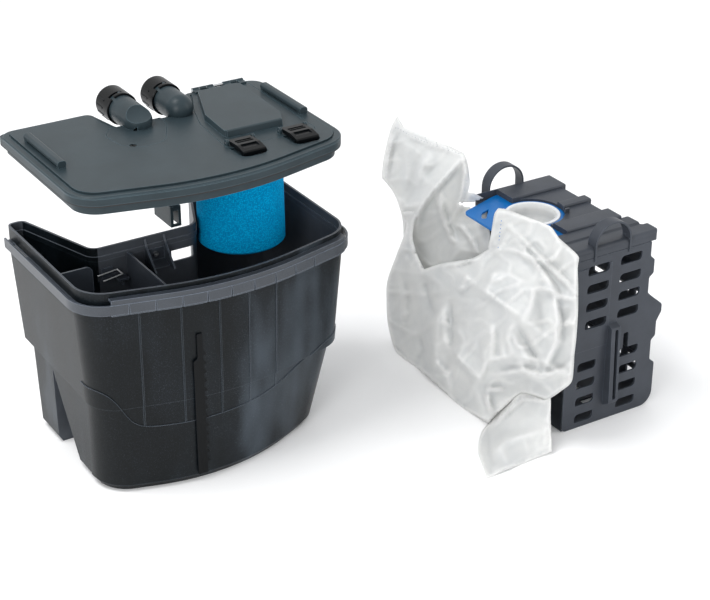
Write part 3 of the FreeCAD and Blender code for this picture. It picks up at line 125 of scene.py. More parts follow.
class Nodes:
    """A small helper that adds shader nodes to one material and links them."""

    def __init__(self, name, color, roughness=0.5, **sockets):
        self.mat = bpy.data.materials.new(name)
        self.mat.use_nodes = True
        self.tree = self.mat.node_tree
        self.bsdf = self.tree.nodes["Principled BSDF"]
        self.bsdf.inputs["Base Color"].default_value = (*color, 1.0)
        self.bsdf.inputs["Roughness"].default_value = roughness
        for key, value in sockets.items():
            self.bsdf.inputs[key.replace("_", " ")].default_value = value
        self.coord = self.add("ShaderNodeTexCoord")

    def add(self, kind, **values):
        node = self.tree.nodes.new(kind)
        for key, value in values.items():
            if hasattr(node, key):
                setattr(node, key, value)
            else:
                node.inputs[key.replace("_", " ")].default_value = value
        return node

    def link(self, a, b):
        self.tree.links.new(a, b)

    def noise(self, scale, detail=3.0, rough=0.55, stretch=(1, 1, 1)):
        mapping = self.add("ShaderNodeMapping")
        mapping.inputs["Scale"].default_value = stretch
        self.link(self.coord.outputs["Object"], mapping.inputs["Vector"])
        node = self.add("ShaderNodeTexNoise", Scale=scale, Detail=detail, Roughness=rough)
        self.link(mapping.outputs["Vector"], node.inputs["Vector"])
        return node.outputs["Fac"]

    def ramp(self, source, stops):
        node = self.add("ShaderNodeValToRGB")
        ramp = node.color_ramp
        while len(ramp.elements) < len(stops):
            ramp.elements.new(0.5)
        for element, (place, color) in zip(ramp.elements, stops):
            element.position = place
            element.color = (*color, 1.0)
        self.link(source, node.inputs["Fac"])
        return node.outputs["Color"]

    def rise(self, source, low, high, out_low, out_high):
        node = self.add("ShaderNodeMapRange")
        for key, value in (("From Min", low), ("From Max", high), ("To Min", out_low), ("To Max", out_high)):
            node.inputs[key].default_value = value
        self.link(source, node.inputs["Value"])
        return node.outputs["Result"]

    def math(self, kind, a, b):
        node = self.add("ShaderNodeMath", operation=kind)
        self.put(a, node.inputs[0])
        self.put(b, node.inputs[1])
        return node.outputs["Value"]

    def mix(self, fac, a, b):
        node = self.add("ShaderNodeMix", data_type="RGBA")
        self.put(fac, node.inputs["Factor"])
        self.put(a, node.inputs[6])
        self.put(b, node.inputs[7])
        return node.outputs[2]

    def put(self, value, socket):
        if isinstance(value, (int, float)):
            socket.default_value = value
        elif isinstance(value, tuple):
            socket.default_value = (*value, 1.0) if len(value) == 3 else value
        else:
            self.link(value, socket)

    def bump(self, height, strength, distance):
        node = self.add("ShaderNodeBump", Strength=strength, Distance=distance)
        self.link(height, node.inputs["Height"])
        self.link(node.outputs["Normal"], self.bsdf.inputs["Normal"])

    def color(self, value):
        self.link(value, self.bsdf.inputs["Base Color"])

    def rough(self, value):
        self.link(value, self.bsdf.inputs["Roughness"])


def lin(r, g, b):
    """A colour given as it shows on screen, 0 to 255, as linear values."""
    shares = [c / 255.0 for c in (r, g, b)]
    return tuple(s / 12.92 if s <= 10.0 / 255.0 else ((s + 0.055) / 1.055) ** 2.4 for s in shares)


def shade(color, k):
    return tuple(c * k for c in color)


def edge_mask(m, radius):
    """1 on the corners of a piece, 0 on its flat faces, from the gap between rounded and real normals."""
    soft = m.add("ShaderNodeBevel", samples=4)
    soft.inputs["Radius"].default_value = radius
    geometry = m.add("ShaderNodeNewGeometry")
    dot = m.add("ShaderNodeVectorMath", operation="DOT_PRODUCT")
    m.link(soft.outputs["Normal"], dot.inputs[0])
    m.link(geometry.outputs["Normal"], dot.inputs[1])
    return m.rise(dot.outputs["Value"], 0.995, 0.86, 0.0, 1.0)


# Sizes of the plastics' grain, in repeats per metre, and the width of the painted highlight along an edge in
# metres
GRAIN, MOTTLE = 2600.0, 26.0
EDGE_HIGHLIGHT_WIDTH, TUB_EDGE_HIGHLIGHT_WIDTH = 0.0009, 0.0010


def moulded(name, color, roughness, speckle=0.12, edge=1.5, gloss=0.35, edge_highlight=0.8):
    """Moulded plastic: fine spark-eroded grain, a faint flow mottling and painted highlights on its edges."""
    m = Nodes(name, color, roughness, Specular_IOR_Level=gloss)
    fine = m.noise(GRAIN, 2.0, 0.6)
    broad = m.noise(MOTTLE, 3.0, 0.6)
    base = m.ramp(broad, [(0.3, shade(color, 1.0 - speckle)), (0.7, shade(color, 1.0 + speckle))])
    # Painted highlight: the corners of a piece are drawn paler, as if light caught them.
    edge_highlight_mask = m.math("MULTIPLY", edge_mask(m, EDGE_HIGHLIGHT_WIDTH), edge_highlight)
    m.color(m.mix(edge_highlight_mask, base, shade(color, edge)))
    m.rough(m.rise(fine, 0.3, 0.7, roughness - 0.05, roughness + 0.08))
    m.bump(fine, 0.25, 0.0002)
    return m.mat


def tub_plastic():
    """Near-black glossy plastic with grain, painted glints and a painted sheen in pale streaks, a noise in
    its colour, and painted highlights on its edges.
    """
    m = Nodes("tub_black", lin(15, 21, 26), 0.34, Specular_IOR_Level=0.2)
    fine = m.noise(1500.0, 2.0, 0.7)
    glint_spots = m.noise(1100.0, 1.0, 0.5)
    # Painted sheen: a noise stretched upright makes pale streaks in the colour, where the glossy front would
    # show reflected light.
    streak = m.noise(7.0, 3.0, 0.6, (1.0, 1.0, 0.35))
    base = m.ramp(streak, [(0.44, lin(3, 7, 10)), (0.55, lin(12, 18, 23)), (0.7, lin(62, 70, 78))])
    # Painted glints: sparse pale spots, brightest in the pale streaks.
    spark = m.math("MULTIPLY", m.rise(glint_spots, 0.6, 0.72, 0.0, 1.0), m.rise(streak, 0.45, 0.7, 0.25, 1.0))
    # Painted highlights on the tub's edges.
    edge_highlight_mask = edge_mask(m, TUB_EDGE_HIGHLIGHT_WIDTH)
    m.color(m.mix(edge_highlight_mask, m.mix(spark, base, lin(74, 84, 92)), lin(74, 82, 90)))
    m.rough(m.rise(fine, 0.35, 0.65, 0.28, 0.46))
    m.bump(fine, 0.35, 0.00025)
    return m.mat


def foam_material():
    """Open-pored foam, blue to cyan."""
    m = Nodes("foam_blue", lin(0, 130, 180), 0.9, Specular_IOR_Level=0.05)
    pores = m.add("ShaderNodeTexVoronoi", Scale=520.0)
    m.link(m.coord.outputs["Object"], pores.inputs["Vector"])
    soft = m.noise(60.0, 4.0, 0.6)
    depth = m.rise(pores.outputs["Distance"], 0.0, 0.6, 0.0, 1.0)
    lit = m.mix(depth, lin(0, 200, 250), lin(0, 128, 186))
    m.color(m.mix(m.rise(soft, 0.3, 0.7, 0.0, 0.35), lit, lin(0, 150, 205)))
    m.bump(pores.outputs["Distance"], 0.7, 0.0008)
    return m.mat


def rubber_material():
    m = Nodes("seal_rubber", lin(22, 24, 27), 0.6)
    fine = m.noise(900.0, 3.0)
    m.rough(m.rise(fine, 0.3, 0.7, 0.5, 0.72))
    m.bump(fine, 0.2, 0.0002)
    return m.mat


def steel_material():
    m = Nodes("steel", lin(196, 198, 200), 0.28, Metallic=1.0)
    streak = m.noise(300.0, 3.0, 0.6, (1.0, 12.0, 12.0))
    m.rough(m.rise(streak, 0.3, 0.7, 0.2, 0.4))
    m.bump(streak, 0.1, 0.0001)
    return m.mat


# In each plastic the last numbers set the painted highlights on its edges: how pale they are and how strongly
# they show.
MATS = {
    "tub": tub_plastic(),
    "rim": moulded("rim_grey", lin(52, 57, 64), 0.3, edge=5.5, gloss=0.5, edge_highlight=1.0),
    "inside": moulded("tub_inside", lin(66, 70, 76), 0.42, edge=4.0, gloss=0.3),
    "lid": moulded("lid_grey", lin(42, 53, 58), 0.36, edge=4.5, gloss=0.22, edge_highlight=0.8),
    "cage": moulded("cage_slate", lin(58, 62, 69), 0.4, edge=2.6, gloss=0.25, edge_highlight=0.9),
    "black": moulded("black_plastic", lin(5, 7, 9), 0.3, edge=9.0, gloss=0.15, edge_highlight=0.45),
    "blue": moulded("collar_blue", lin(0, 96, 164), 0.34, speckle=0.05, edge=1.4, gloss=0.3),
    "white": moulded("ring_white", lin(214, 216, 218), 0.4, speckle=0.04, edge=1.02),
    "foam": foam_material(),
    "rubber": rubber_material(),
    "steel": steel_material(),
    "thread_blue": moulded("thread_blue", lin(52, 128, 205), 0.6, speckle=0.05, edge=1.05),
    "thread_grey": moulded("thread_grey", lin(150, 156, 162), 0.7, speckle=0.05, edge=1.05),
}

NODE_MATS = {
    "tub_shell": "tub", "rim_band": "rim", "divider": "rim", "baffle_panel": "rim", "wall_bracket": "rim",
    "bracket_screw": "steel", "spring_clip": "steel", "clip_saddle": "rim", "level_strip": "black",
    "lid_shell": "lid", "lid_flange": "lid", "lid_skirt": "lid", "lid_seal": "rubber",
    "inlet_port": "lid", "inlet_catch": "black", "inlet_channel": "lid", "outlet_port": "lid",
    "outlet_channel": "lid", "rear_duct": "lid", "side_bar_left": "lid", "side_bar_right": "lid",
    "foam_core": "lid", "foam_sleeve": "foam",
    "hinge_pin": "steel", "hatch_cover": "lid", "hatch_seal": "rubber", "buckle_pins": "steel",
    "buckle_left": "black", "buckle_right": "black", "cuff_left": "black", "cuff_right": "black",
    "cage_side_near": "cage", "cage_side_far": "cage", "cage_back": "cage", "cage_deck": "cage",
    "loop_near": "cage", "loop_far": "cage", "collar_plate": "blue", "collar_ring": "white",
    "filter_bag": "white",
}


def dress(obj, mat):
    obj.data.materials.clear()
    obj.data.materials.append(mat)


for name, key in NODE_MATS.items():
    dress(NODES[name], MATS[key])


# How far behind its front the tub's middle lies, in metres
TUB_MIDDLE = 0.13


def line_tub():
    """The tub's inner faces are a plainer, paler grey than its outside."""
    shell = NODES["tub_shell"]
    shell.data.materials.append(MATS["inside"])
    low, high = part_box("tub_shell")
    middle = Vector(((low.x + high.x) / 2.0, low.y + TUB_MIDDLE, 0.0))
    for face in shell.data.polygons:
        away = face.center - middle
        if (abs(face.normal.z) < 0.5 and away.xy.dot(face.normal.xy) < 0.0) or face.normal.z > 0.5:
            face.material_index = 1


line_tub()

# The cage, its straps and the blue collar, which stand for the plainer solids of the same pieces
# All sizes are the drawing's millimetres; its y lies DRAWING_SHIFT below the frame's

DRAWING_SHIFT = 60.0
CAGE_X, CAGE_Y, CAGE_LENGTH, CAGE_DEPTH, CAGE_WALL = 434.0, -314.0, 154.0, 229.0, 3.0
DECK_Z, DECK_RIB, DECK_BAND, DECK_END_X, RAIL_DEPTH = 281.5, 4.5, 58.0, 561.0, 13.5
SLOT_LENGTH, SLOT_HEIGHT, SLOT_ROWS = 38.0, 14.0, 4
UPPER_SLOT_Z, UPPER_PITCH, LOWER_SLOT_Z, LOWER_PITCH = 158.0, 28.0, 8.0, 27.9
BACK_SLOT_WIDTH, BACK_SLOT_PITCH = 34.0, 48.0
CORNER_TIGHT, CORNER_WIDE = 2.4, 6.8
STRAP_WIDTH, STRAP_SPAN, STRAP_THICKNESS, STRAP_NEAR_X, STRAP_FAR_X = 18.0, 30.2, 3.0, 504.3, 489.0
PLATE_THICKNESS, RING_X, RING_Y, RING_RADIUS, RING_BORE = 3.7, 472.5, -171.6, 40.0, 35.0
CIRCLE_STEPS, ARCH_STEPS = 96, 40
CAGE_RIGHT = CAGE_X + CAGE_LENGTH
CAGE_BACK = CAGE_Y + CAGE_DEPTH
CAGE_STEP_Y = CAGE_Y + DECK_BAND
UPPER_BACK_X = CAGE_RIGHT - 13.0
RAIL_Z = DECK_Z - RAIL_DEPTH
COLLAR_Z = DECK_Z - 8.0


def rounded(points):
    """An outline of (u, v, radius) corners with each corner drawn as an arc."""
    result = []
    count = len(points)
    for i, (u, v, radius) in enumerate(points):
        here = Vector((u, v))
        before = Vector(points[i - 1][:2]) - here
        after = Vector(points[(i + 1) % count][:2]) - here
        half = before.angle(after) / 2.0
        if radius < 0.05 or half > 1.55:
            result.append(here)
            continue
        reach = min(radius / math.tan(half), before.length * 0.49, after.length * 0.49)
        radius = reach * math.tan(half)
        centre = here + (before.normalized() + after.normalized()).normalized() * (radius / math.sin(half))
        start = here + before.normalized() * reach - centre
        end = here + after.normalized() * reach - centre
        turn = start.angle_signed(end)
        pieces = max(2, round(abs(turn) * 6.0))
        for k in range(pieces + 1):
            angle = -turn * k / pieces
            result.append(centre + Vector((start.x * math.cos(angle) - start.y * math.sin(angle),
                                           start.x * math.sin(angle) + start.y * math.cos(angle))))
    return result


def drawn(points, low, high, place):
    """A closed mesh between two levels over an outline; place turns (u, v, level) into drawing x, y, z."""
    mesh = bpy.data.meshes.new("drawn")
    verts = []
    for level in (low, high):
        for p in points:
            x, y, z = place(p[0], p[1], level)
            verts.append((x / 1000.0, (y + DRAWING_SHIFT) / 1000.0, z / 1000.0))
    n = len(points)
    faces = [tuple(reversed(range(n))), tuple(range(n, 2 * n))]
    faces += [(i, (i + 1) % n, (i + 1) % n + n, i + n) for i in range(n)]
    mesh.from_pydata(verts, [], faces)
    return outward(mesh)


def outward(mesh):
    """The mesh with all its faces turned outwards."""
    bm = bmesh.new()
    bm.from_mesh(mesh)
    bmesh.ops.recalc_face_normals(bm, faces=bm.faces)
    bm.to_mesh(mesh)
    bm.free()
    return mesh


def slab_xz(points, y0, y1):
    """A slab over an outline seen from the front."""
    return drawn(rounded(points), y0, y1, lambda u, v, level: (u, level, v))


def slab_yz(points, x0, x1):
    """A slab over an outline seen from the side."""
    return drawn(rounded(points), x0, x1, lambda u, v, level: (level, u, v))


def prism(points, z0, z1):
    """A slab over an outline seen from above."""
    return drawn(rounded(points), z0, z1, lambda u, v, level: (u, v, level))


def box(x0, x1, y0, y1, z0, z1):
    return prism([(x0, y0, 0.0), (x1, y0, 0.0), (x1, y1, 0.0), (x0, y1, 0.0)], z0, z1)


def upright(x, y, radius, z0, z1):
    """An upright cylinder."""
    angles = [2.0 * math.pi * i / CIRCLE_STEPS for i in range(CIRCLE_STEPS)]
    ring = [(x + radius * math.cos(angle), y + radius * math.sin(angle)) for angle in angles]
    return drawn(ring, z0, z1, lambda u, v, level: (u, v, level))


def combine(a, others, kind):
    """A solid with others cut from it, joined to it or kept in common with it."""
    held = [add_object("part", mesh) for mesh in [a] + others]
    for other in held[1:]:
        step = held[0].modifiers.new("step", "BOOLEAN")
        step.operation = kind
        step.solver = "EXACT"
        step.object = other
    shape = bpy.data.meshes.new_from_object(held[0].evaluated_get(bpy.context.evaluated_depsgraph_get()))
    for obj in held:
        bpy.data.objects.remove(obj)
    return shape


def together(meshes):
    """Solids that don't touch, in one mesh."""
    bm = bmesh.new()
    for mesh in meshes:
        bm.from_mesh(mesh)
    result = bpy.data.meshes.new("together")
    bm.to_mesh(result)
    bm.free()
    return result


def cut(a, *others):
    return combine(a, list(others), "DIFFERENCE")


def fuse(a, *others):
    return combine(a, list(others), "UNION")


def stand_in(name, mesh, mat, nodes, edge=0.0006):
    """A piece that stands for solids of the frame, with softened edges."""
    obj = add_object(name, mesh)
    dress(obj, mat)
    for face in mesh.polygons:
        face.use_smooth = True
    mesh.set_sharp_from_angle(angle=math.radians(32.0))
    soften = obj.modifiers.new("edges", "BEVEL")
    soften.width = edge
    soften.segments = 2
    soften.limit_method = "ANGLE"
    soften.angle_limit = math.radians(38.0)
    soften.harden_normals = True
    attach(obj, body_of(NODES[nodes[0]])[0])
    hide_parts(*nodes)
    return obj


def wall_slot(x, z, length, y):
    """A slot with two opposite corners well rounded."""
    top = z + SLOT_HEIGHT
    outline = [(x, z, CORNER_TIGHT), (x + length, z, CORNER_WIDE), (x + length, top, CORNER_TIGHT),
               (x, top, CORNER_WIDE)]
    return slab_xz(outline, y - 2.0, y + CAGE_WALL + 1.0)


def back_path():
    """Floor, round corner and corrugated back in one line, as (x, z, radius)."""
    low, high = CAGE_RIGHT, UPPER_BACK_X
    return [(CAGE_X, 0.0, 1.0), (low + 9.0, 0.0, 22.0), (low + 9.0, 68.0, 6.0), (low, 76.0, 4.0),
            (low, 107.0, 4.0), (low + 7.0, 113.0, 4.0), (low + 7.0, 136.0, 6.0), (low + 15.0, 150.0, 6.0),
            (low + 15.0, 162.0, 7.0), (high + 6.0, 181.0, 6.0), (high, 187.0, 4.0), (high, 211.0, 4.0),
            (high + 7.5, 217.0, 4.0), (high + 7.5, 238.0, 4.0), (high, 245.0, 4.0), (high, RAIL_Z - 1.0, 3.5)]


def side_wall(y):
    """A plain side wall, the solids of its slots, and the solid of its upright window."""
    top = RAIL_Z - 0.3
    outline = [(CAGE_X, 0.0, 7.0)] + back_path()[1:-1] + [(UPPER_BACK_X, top, 1.0), (CAGE_X, top, 1.0)]
    wall = slab_xz(outline, y, y + CAGE_WALL)
    gaps = []
    for row in range(SLOT_ROWS):
        high, low = UPPER_SLOT_Z + UPPER_PITCH * row, LOWER_SLOT_Z + LOWER_PITCH * row
        columns = ((29.0, high, 0.0), (87.0, high + 2.0, 0.0), (21.0, low, 5.0), (96.0, low + 3.0, 4.0))
        for left, z, shorter in columns:
            gaps.append(wall_slot(CAGE_X + left, z, SLOT_LENGTH - shorter, y))
    window = [(CAGE_X + 101.5, 101.0, 1.0), (CAGE_X + 111.0, 101.0, 1.0), (CAGE_X + 111.0, 133.0, 3.0),
              (CAGE_X + 101.5, 133.0, 3.0)]
    return wall, gaps, slab_xz(window, y - 2.0, y + CAGE_WALL + 1.0)


def near_wall():
    """The near wall, with an upright guide channel and a thin raised panel on its outside."""
    wall, gaps, window = side_wall(CAGE_Y)
    pad_top = RAIL_Z - 14.0
    pad = slab_xz([(CAGE_X, 125.0, 0.5), (CAGE_X + 71.0, 125.0, 0.5), (CAGE_X + 71.0, pad_top, 0.5),
                   (CAGE_X, pad_top, 0.5)], CAGE_Y - 1.2, CAGE_Y + 1.0)
    side = [(CAGE_Y + 1.0, 24.0, 0.0), (CAGE_Y + 1.0, 157.0, 0.0), (CAGE_Y - 10.0, 152.0, 2.0),
            (CAGE_Y - 14.0, 33.0, 2.0)]
    guide = slab_yz(side, CAGE_X + 71.0, CAGE_X + 87.0)
    groove = slab_xz([(CAGE_X + 77.5, 37.0, 1.0), (CAGE_X + 83.5, 37.0, 1.0), (CAGE_X + 83.5, 149.0, 2.9),
                      (CAGE_X + 77.5, 149.0, 2.9)], CAGE_Y - 20.0, CAGE_Y - 0.1)
    return cut(fuse(wall, pad, cut(guide, groove)), together(gaps), window)


def far_wall():
    """The far wall, without the near wall's guide and panel."""
    wall, gaps, window = side_wall(CAGE_BACK - CAGE_WALL)
    return cut(wall, together(gaps), window)


def offset_path(points, distance):
    """An open path moved to its left by a distance, with its corners' radii fitted."""
    result = []
    for i, (u, v, radius) in enumerate(points):
        here = Vector((u, v))
        ways = []
        if i:
            ways.append((here - Vector(points[i - 1][:2])).normalized())
        if i < len(points) - 1:
            ways.append((Vector(points[i + 1][:2]) - here).normalized())
        sides = [Vector((-w.y, w.x)) for w in ways]
        if len(sides) == 1:
            move = sides[0] * distance
            turn = 0.0
        else:
            move = (sides[0] + sides[1]) * (distance / (1.0 + sides[0].dot(sides[1])))
            turn = ways[0].cross(ways[1])
        fitted = radius - distance if turn > 0.0 else radius + distance
        result.append((here.x + move.x, here.y + move.y, max(0.6, fitted)))
    return result


def wave_back():
    """The bent wall that makes the cage's floor, round corner, corrugated back and upper ledge."""
    lip_x, lip_z = DECK_END_X - 5.0, DECK_Z - 4.1
    outer = back_path() + [(lip_x, RAIL_Z - 1.0, 1.5), (lip_x, lip_z, 0.5)]
    inner = offset_path(outer, CAGE_WALL)
    inner[0] = (CAGE_X, CAGE_WALL, 1.0)
    inner[-1] = (lip_x - CAGE_WALL, lip_z, 0.5)
    wall = slab_xz(outer + list(reversed(inner)), CAGE_Y + CAGE_WALL + 0.2, CAGE_BACK - CAGE_WALL - 0.2)
    gaps = [box(CAGE_X, CAGE_RIGHT, CAGE_Y, CAGE_STEP_Y + CAGE_WALL + 7.3, RAIL_Z - 0.3, DECK_Z),
            box(CAGE_X, CAGE_RIGHT, CAGE_BACK - CAGE_WALL - 8.3, CAGE_BACK, RAIL_Z - 0.3, DECK_Z)]
    for row in range(SLOT_ROWS):
        y0 = CAGE_Y + 22.0 + row * BACK_SLOT_PITCH
        y1 = y0 + BACK_SLOT_WIDTH
        gaps.append(box(CAGE_RIGHT + 2.0, CAGE_RIGHT + 12.0, y0, y1, 26.0, 38.0))
        gaps.append(box(CAGE_RIGHT + 2.0, CAGE_RIGHT + 12.0, y0, y1, 48.0, 60.0))
        gaps.append(box(CAGE_RIGHT + 8.0, CAGE_RIGHT + 18.0, y0, y1, 151.0, 161.0))
        gaps.append(box(CAGE_X + 74.0, CAGE_X + 100.0, y0, y1, -1.0, CAGE_WALL + 1.0))
    return cut(wall, together(gaps))


def deck_band():
    """The deck's low band along the near wall, with a groove and rounded corners."""
    y0 = CAGE_Y
    top = DECK_Z + 1.0
    groove = top - 2.2
    inner_y = CAGE_STEP_Y + 1.0
    section = [(y0, RAIL_Z, 1.0), (inner_y, RAIL_Z, 0.3), (inner_y, top, 0.3), (y0 + 36.0, top, 1.5),
               (y0 + 34.0, groove, 1.0), (y0 + 29.0, groove, 1.0), (y0 + 27.0, top, 1.5), (y0, top, 8.0)]
    right = CAGE_RIGHT - 1.0
    plan = [(CAGE_X, y0, 1.0), (right, y0, 8.0), (right, y0 + 27.0, 5.0), (right - 8.0, y0 + 33.0, 2.0),
            (right - 9.0, inner_y, 3.0), (CAGE_X, inner_y, 0.3)]
    band = slab_yz(section, CAGE_X + 0.01, right)
    return combine(band, [prism(plan, RAIL_Z - 1.0, top + 1.0)], "INTERSECT")


def top_deck():
    """The top deck: the near band, three raised ribs, and the rails that the collar slides in."""
    y0, y1, step, wall = CAGE_Y, CAGE_BACK, CAGE_STEP_Y, CAGE_WALL
    rail_top = COLLAR_Z - 0.4
    under = COLLAR_Z + PLATE_THICKNESS + 0.5
    rib_z = DECK_Z + DECK_RIB
    section = [
        (step, RAIL_Z, 0.3), (step + wall + 7.0, RAIL_Z, 0.6), (step + wall + 7.0, rail_top, 0.6),
        (step + wall, rail_top, 0.4), (step + wall, under, 0.4), (y1 - wall, under, 0.4),
        (y1 - wall, rail_top, 0.4), (y1 - wall - 8.0, rail_top, 0.6), (y1 - wall - 8.0, RAIL_Z, 0.6),
        (y1, RAIL_Z, 1.0), (y1, DECK_Z, 0.5), (step, DECK_Z, 0.3),
    ]
    ribs = []
    for near, far in ((step, step + 33.0), (y0 + 127.0, y0 + 145.0), (y0 + 187.0, y1)):
        rib = [(near, under + 0.5, 0.3), (far, under + 0.5, 0.3), (far, rib_z, 2.6), (near, rib_z, 2.6)]
        ribs.append(slab_yz(rib, CAGE_X - 0.02, DECK_END_X + 5.0))
    deck = fuse(slab_yz(section, CAGE_X, DECK_END_X), together(ribs))
    lug = box(RING_X + 27.0, RING_X + 43.0, RING_Y - 30.0, RING_Y - 14.0, DECK_Z - 1.0, rib_z + 3.0)
    lug = cut(lug, box(RING_X + 33.0, RING_X + 44.0, RING_Y - 27.0, RING_Y - 18.0, DECK_Z, rib_z + 4.0))
    deck = fuse(deck, lug)
    deck = cut(deck, box(CAGE_X - 1.0, CAGE_X + 36.0, step - 0.01, y1 - wall, rail_top, DECK_Z + 20.0),
               upright(RING_X, RING_Y, RING_RADIUS + 6.0, rail_top, DECK_Z + 20.0))
    return fuse(deck, deck_band())


def strap(x, y, z_leg, z_arch):
    """A flat strap bent to an arch, as one outline."""
    outer, inner = STRAP_SPAN + STRAP_THICKNESS / 2.0, STRAP_SPAN - STRAP_THICKNESS / 2.0
    angles = [math.pi * i / ARCH_STEPS for i in range(ARCH_STEPS + 1)]
    line = [(x + outer, z_leg)]
    line += [(x + outer * math.cos(angle), z_arch + outer * math.sin(angle)) for angle in angles]
    line += [(x - outer, z_leg), (x - inner, z_leg)]
    line += [(x - inner * math.cos(angle), z_arch + inner * math.sin(angle)) for angle in angles]
    line += [(x + inner, z_leg)]
    return drawn(line, y, y + STRAP_WIDTH, lambda u, v, level: (u, level, v))


def near_strap():
    """The near strap stands in the deck's band, its front edge proud of the wall."""
    loop = strap(STRAP_NEAR_X, CAGE_Y - 2.0, RAIL_Z - 6.0, DECK_Z + 2.5)
    return cut(loop, box(CAGE_X, CAGE_RIGHT, CAGE_Y, CAGE_Y + 40.0, RAIL_Z - 10.0, DECK_Z + 0.9))


def blue_plate():
    """The blue plate that slides into the rails and holds the bag's mouth."""
    y0 = CAGE_STEP_Y + CAGE_WALL + 0.4
    y1 = CAGE_BACK - CAGE_WALL - 0.4
    x0, x1 = CAGE_X - 39.0, CAGE_X + 98.0
    top = COLLAR_Z + PLATE_THICKNESS
    outline = [(x0, y0 + 10.0, 14.0), (x0 + 12.0, y0, 14.0), (x1, y0, 12.0), (x1, y1, 12.0),
               (x0 + 70.0, y1, 30.0), (x0, y1 - 24.0, 10.0)]
    seat = upright(RING_X, RING_Y, RING_RADIUS + 4.5, COLLAR_Z + 0.3, top + 1.5)
    plate = fuse(prism(outline, COLLAR_Z, top), seat)
    mark = RING_Y + 30.0
    moon = [(x0 + 9.0, mark - 1.5, 2.5), (x0 + 14.0, mark - 5.5, 1.5), (x0 + 23.0, mark + 4.5, 10.0),
            (x0 + 37.0, mark + 19.5, 0.8), (x0 + 20.0, mark + 13.5, 9.0)]
    crescent = prism(moon, COLLAR_Z - 1.0, COLLAR_Z + 10.0)
    return cut(plate, upright(RING_X, RING_Y, RING_RADIUS + 0.2, top - 1.2, COLLAR_Z + 12.0),
               upright(RING_X, RING_Y, RING_BORE, COLLAR_Z - 10.0, COLLAR_Z + 20.0), crescent)


def pale_ring():
    """The white ring in the blue plate's seat."""
    z0 = COLLAR_Z + PLATE_THICKNESS - 1.2
    return cut(upright(RING_X, RING_Y, RING_RADIUS, z0, z0 + 4.0),
               upright(RING_X, RING_Y, RING_BORE, z0 - 1.0, z0 + 6.0))


def make_cage():
    """Makes the cage and the collar, and gives the blue plate back for the bag to keep clear of."""
    cage = MATS["cage"]
    stand_in("wall_near", near_wall(), cage, ["cage_side_near"])
    stand_in("wall_far", far_wall(), cage, ["cage_side_far"])
    stand_in("wall_back", wave_back(), cage, ["cage_back"])
    stand_in("top_deck", top_deck(), cage, ["cage_deck"])
    stand_in("strap_near", near_strap(), cage, ["loop_near"])
    stand_in("strap_far", strap(STRAP_FAR_X, CAGE_BACK, RAIL_Z - 6.0, DECK_Z + 4.5), cage, ["loop_far"])
    plate = stand_in("plate_blue", blue_plate(), MATS["blue"], ["collar_plate"])
    stand_in("ring_pale", pale_ring(), MATS["white"], ["collar_ring"], 0.0011)
    return plate


PLATE = make_cage()


# The fleece bag, laid out over the camera's view: a point is a pixel's place and an X in millimetres
# An outline is a list of stretches that are smooth inside and meet at sharp corners
# A fold is a line in pixels, its height, and its width in pixels on each side

CLOTH_STEP, BACK_STEP = 1.9, 3.0
CLOTH_THICKNESS = 0.0006
FLOOR_GAP = 0.0012
PLATE_GAP = 0.0012
STITCH_LIFT = 0.45
FOLD_SCALE = 3.0
KNOT_SOFTNESS = 0.5


def smooth_line(points, step):
    """Points along a smooth open curve through the given ones, about step apart."""
    result = []
    for i in range(len(points) - 1):
        p0, p1, p2, p3 = (Vector(points[min(max(i + k, 0), len(points) - 1)]) for k in (-1, 0, 1, 2))
        pieces = max(1, round((p2 - p1).xy.length / step))
        for j in range(pieces):
            t = j / pieces
            result.append(0.5 * (2 * p1 + (p2 - p0) * t + (2 * p0 - 5 * p1 + 4 * p2 - p3) * t * t
                                 + (3 * p1 - p0 - 3 * p2 + p3) * t ** 3))
    result.append(Vector(points[-1]))
    return result


def closed_line(stretches, step):
    """A closed outline through stretches that meet at corners."""
    result = []
    for here, following in zip(stretches, stretches[1:] + stretches[:1]):
        result += smooth_line(here + following[:1], step)[:-1]
    return result


def fold_share(places, line, width_a, width_b):
    """How much of a fold's height each place gets: straight flanks that taper off at the fold's ends."""
    corners = np.array(line, float)
    nearest = np.full(len(places), 1e9)
    side = np.zeros(len(places))
    along = np.zeros(len(places))
    run = 0.0
    for a, b in zip(corners[:-1], corners[1:]):
        d = b - a
        length = float(np.hypot(*d))
        t = np.clip(((places - a) @ d) / length ** 2, 0.0, 1.0)
        gap = np.linalg.norm(places - (a + t[:, None] * d), axis=1)
        closer = gap < nearest
        nearest = np.where(closer, gap, nearest)
        cross = d[0] * (places[:, 1] - a[1]) - d[1] * (places[:, 0] - a[0])
        side = np.where(closer, cross, side)
        along = np.where(closer, run + t * length, along)
        run += length
    width = np.where(side < 0.0, width_a, width_b)
    flank = np.clip(1.0 - nearest / width, 0.0, 1.0) ** 1.35
    fade = np.clip(3.5 * np.minimum(along, run - along) / run + 0.12, 0.0, 1.0)
    return flank * fade


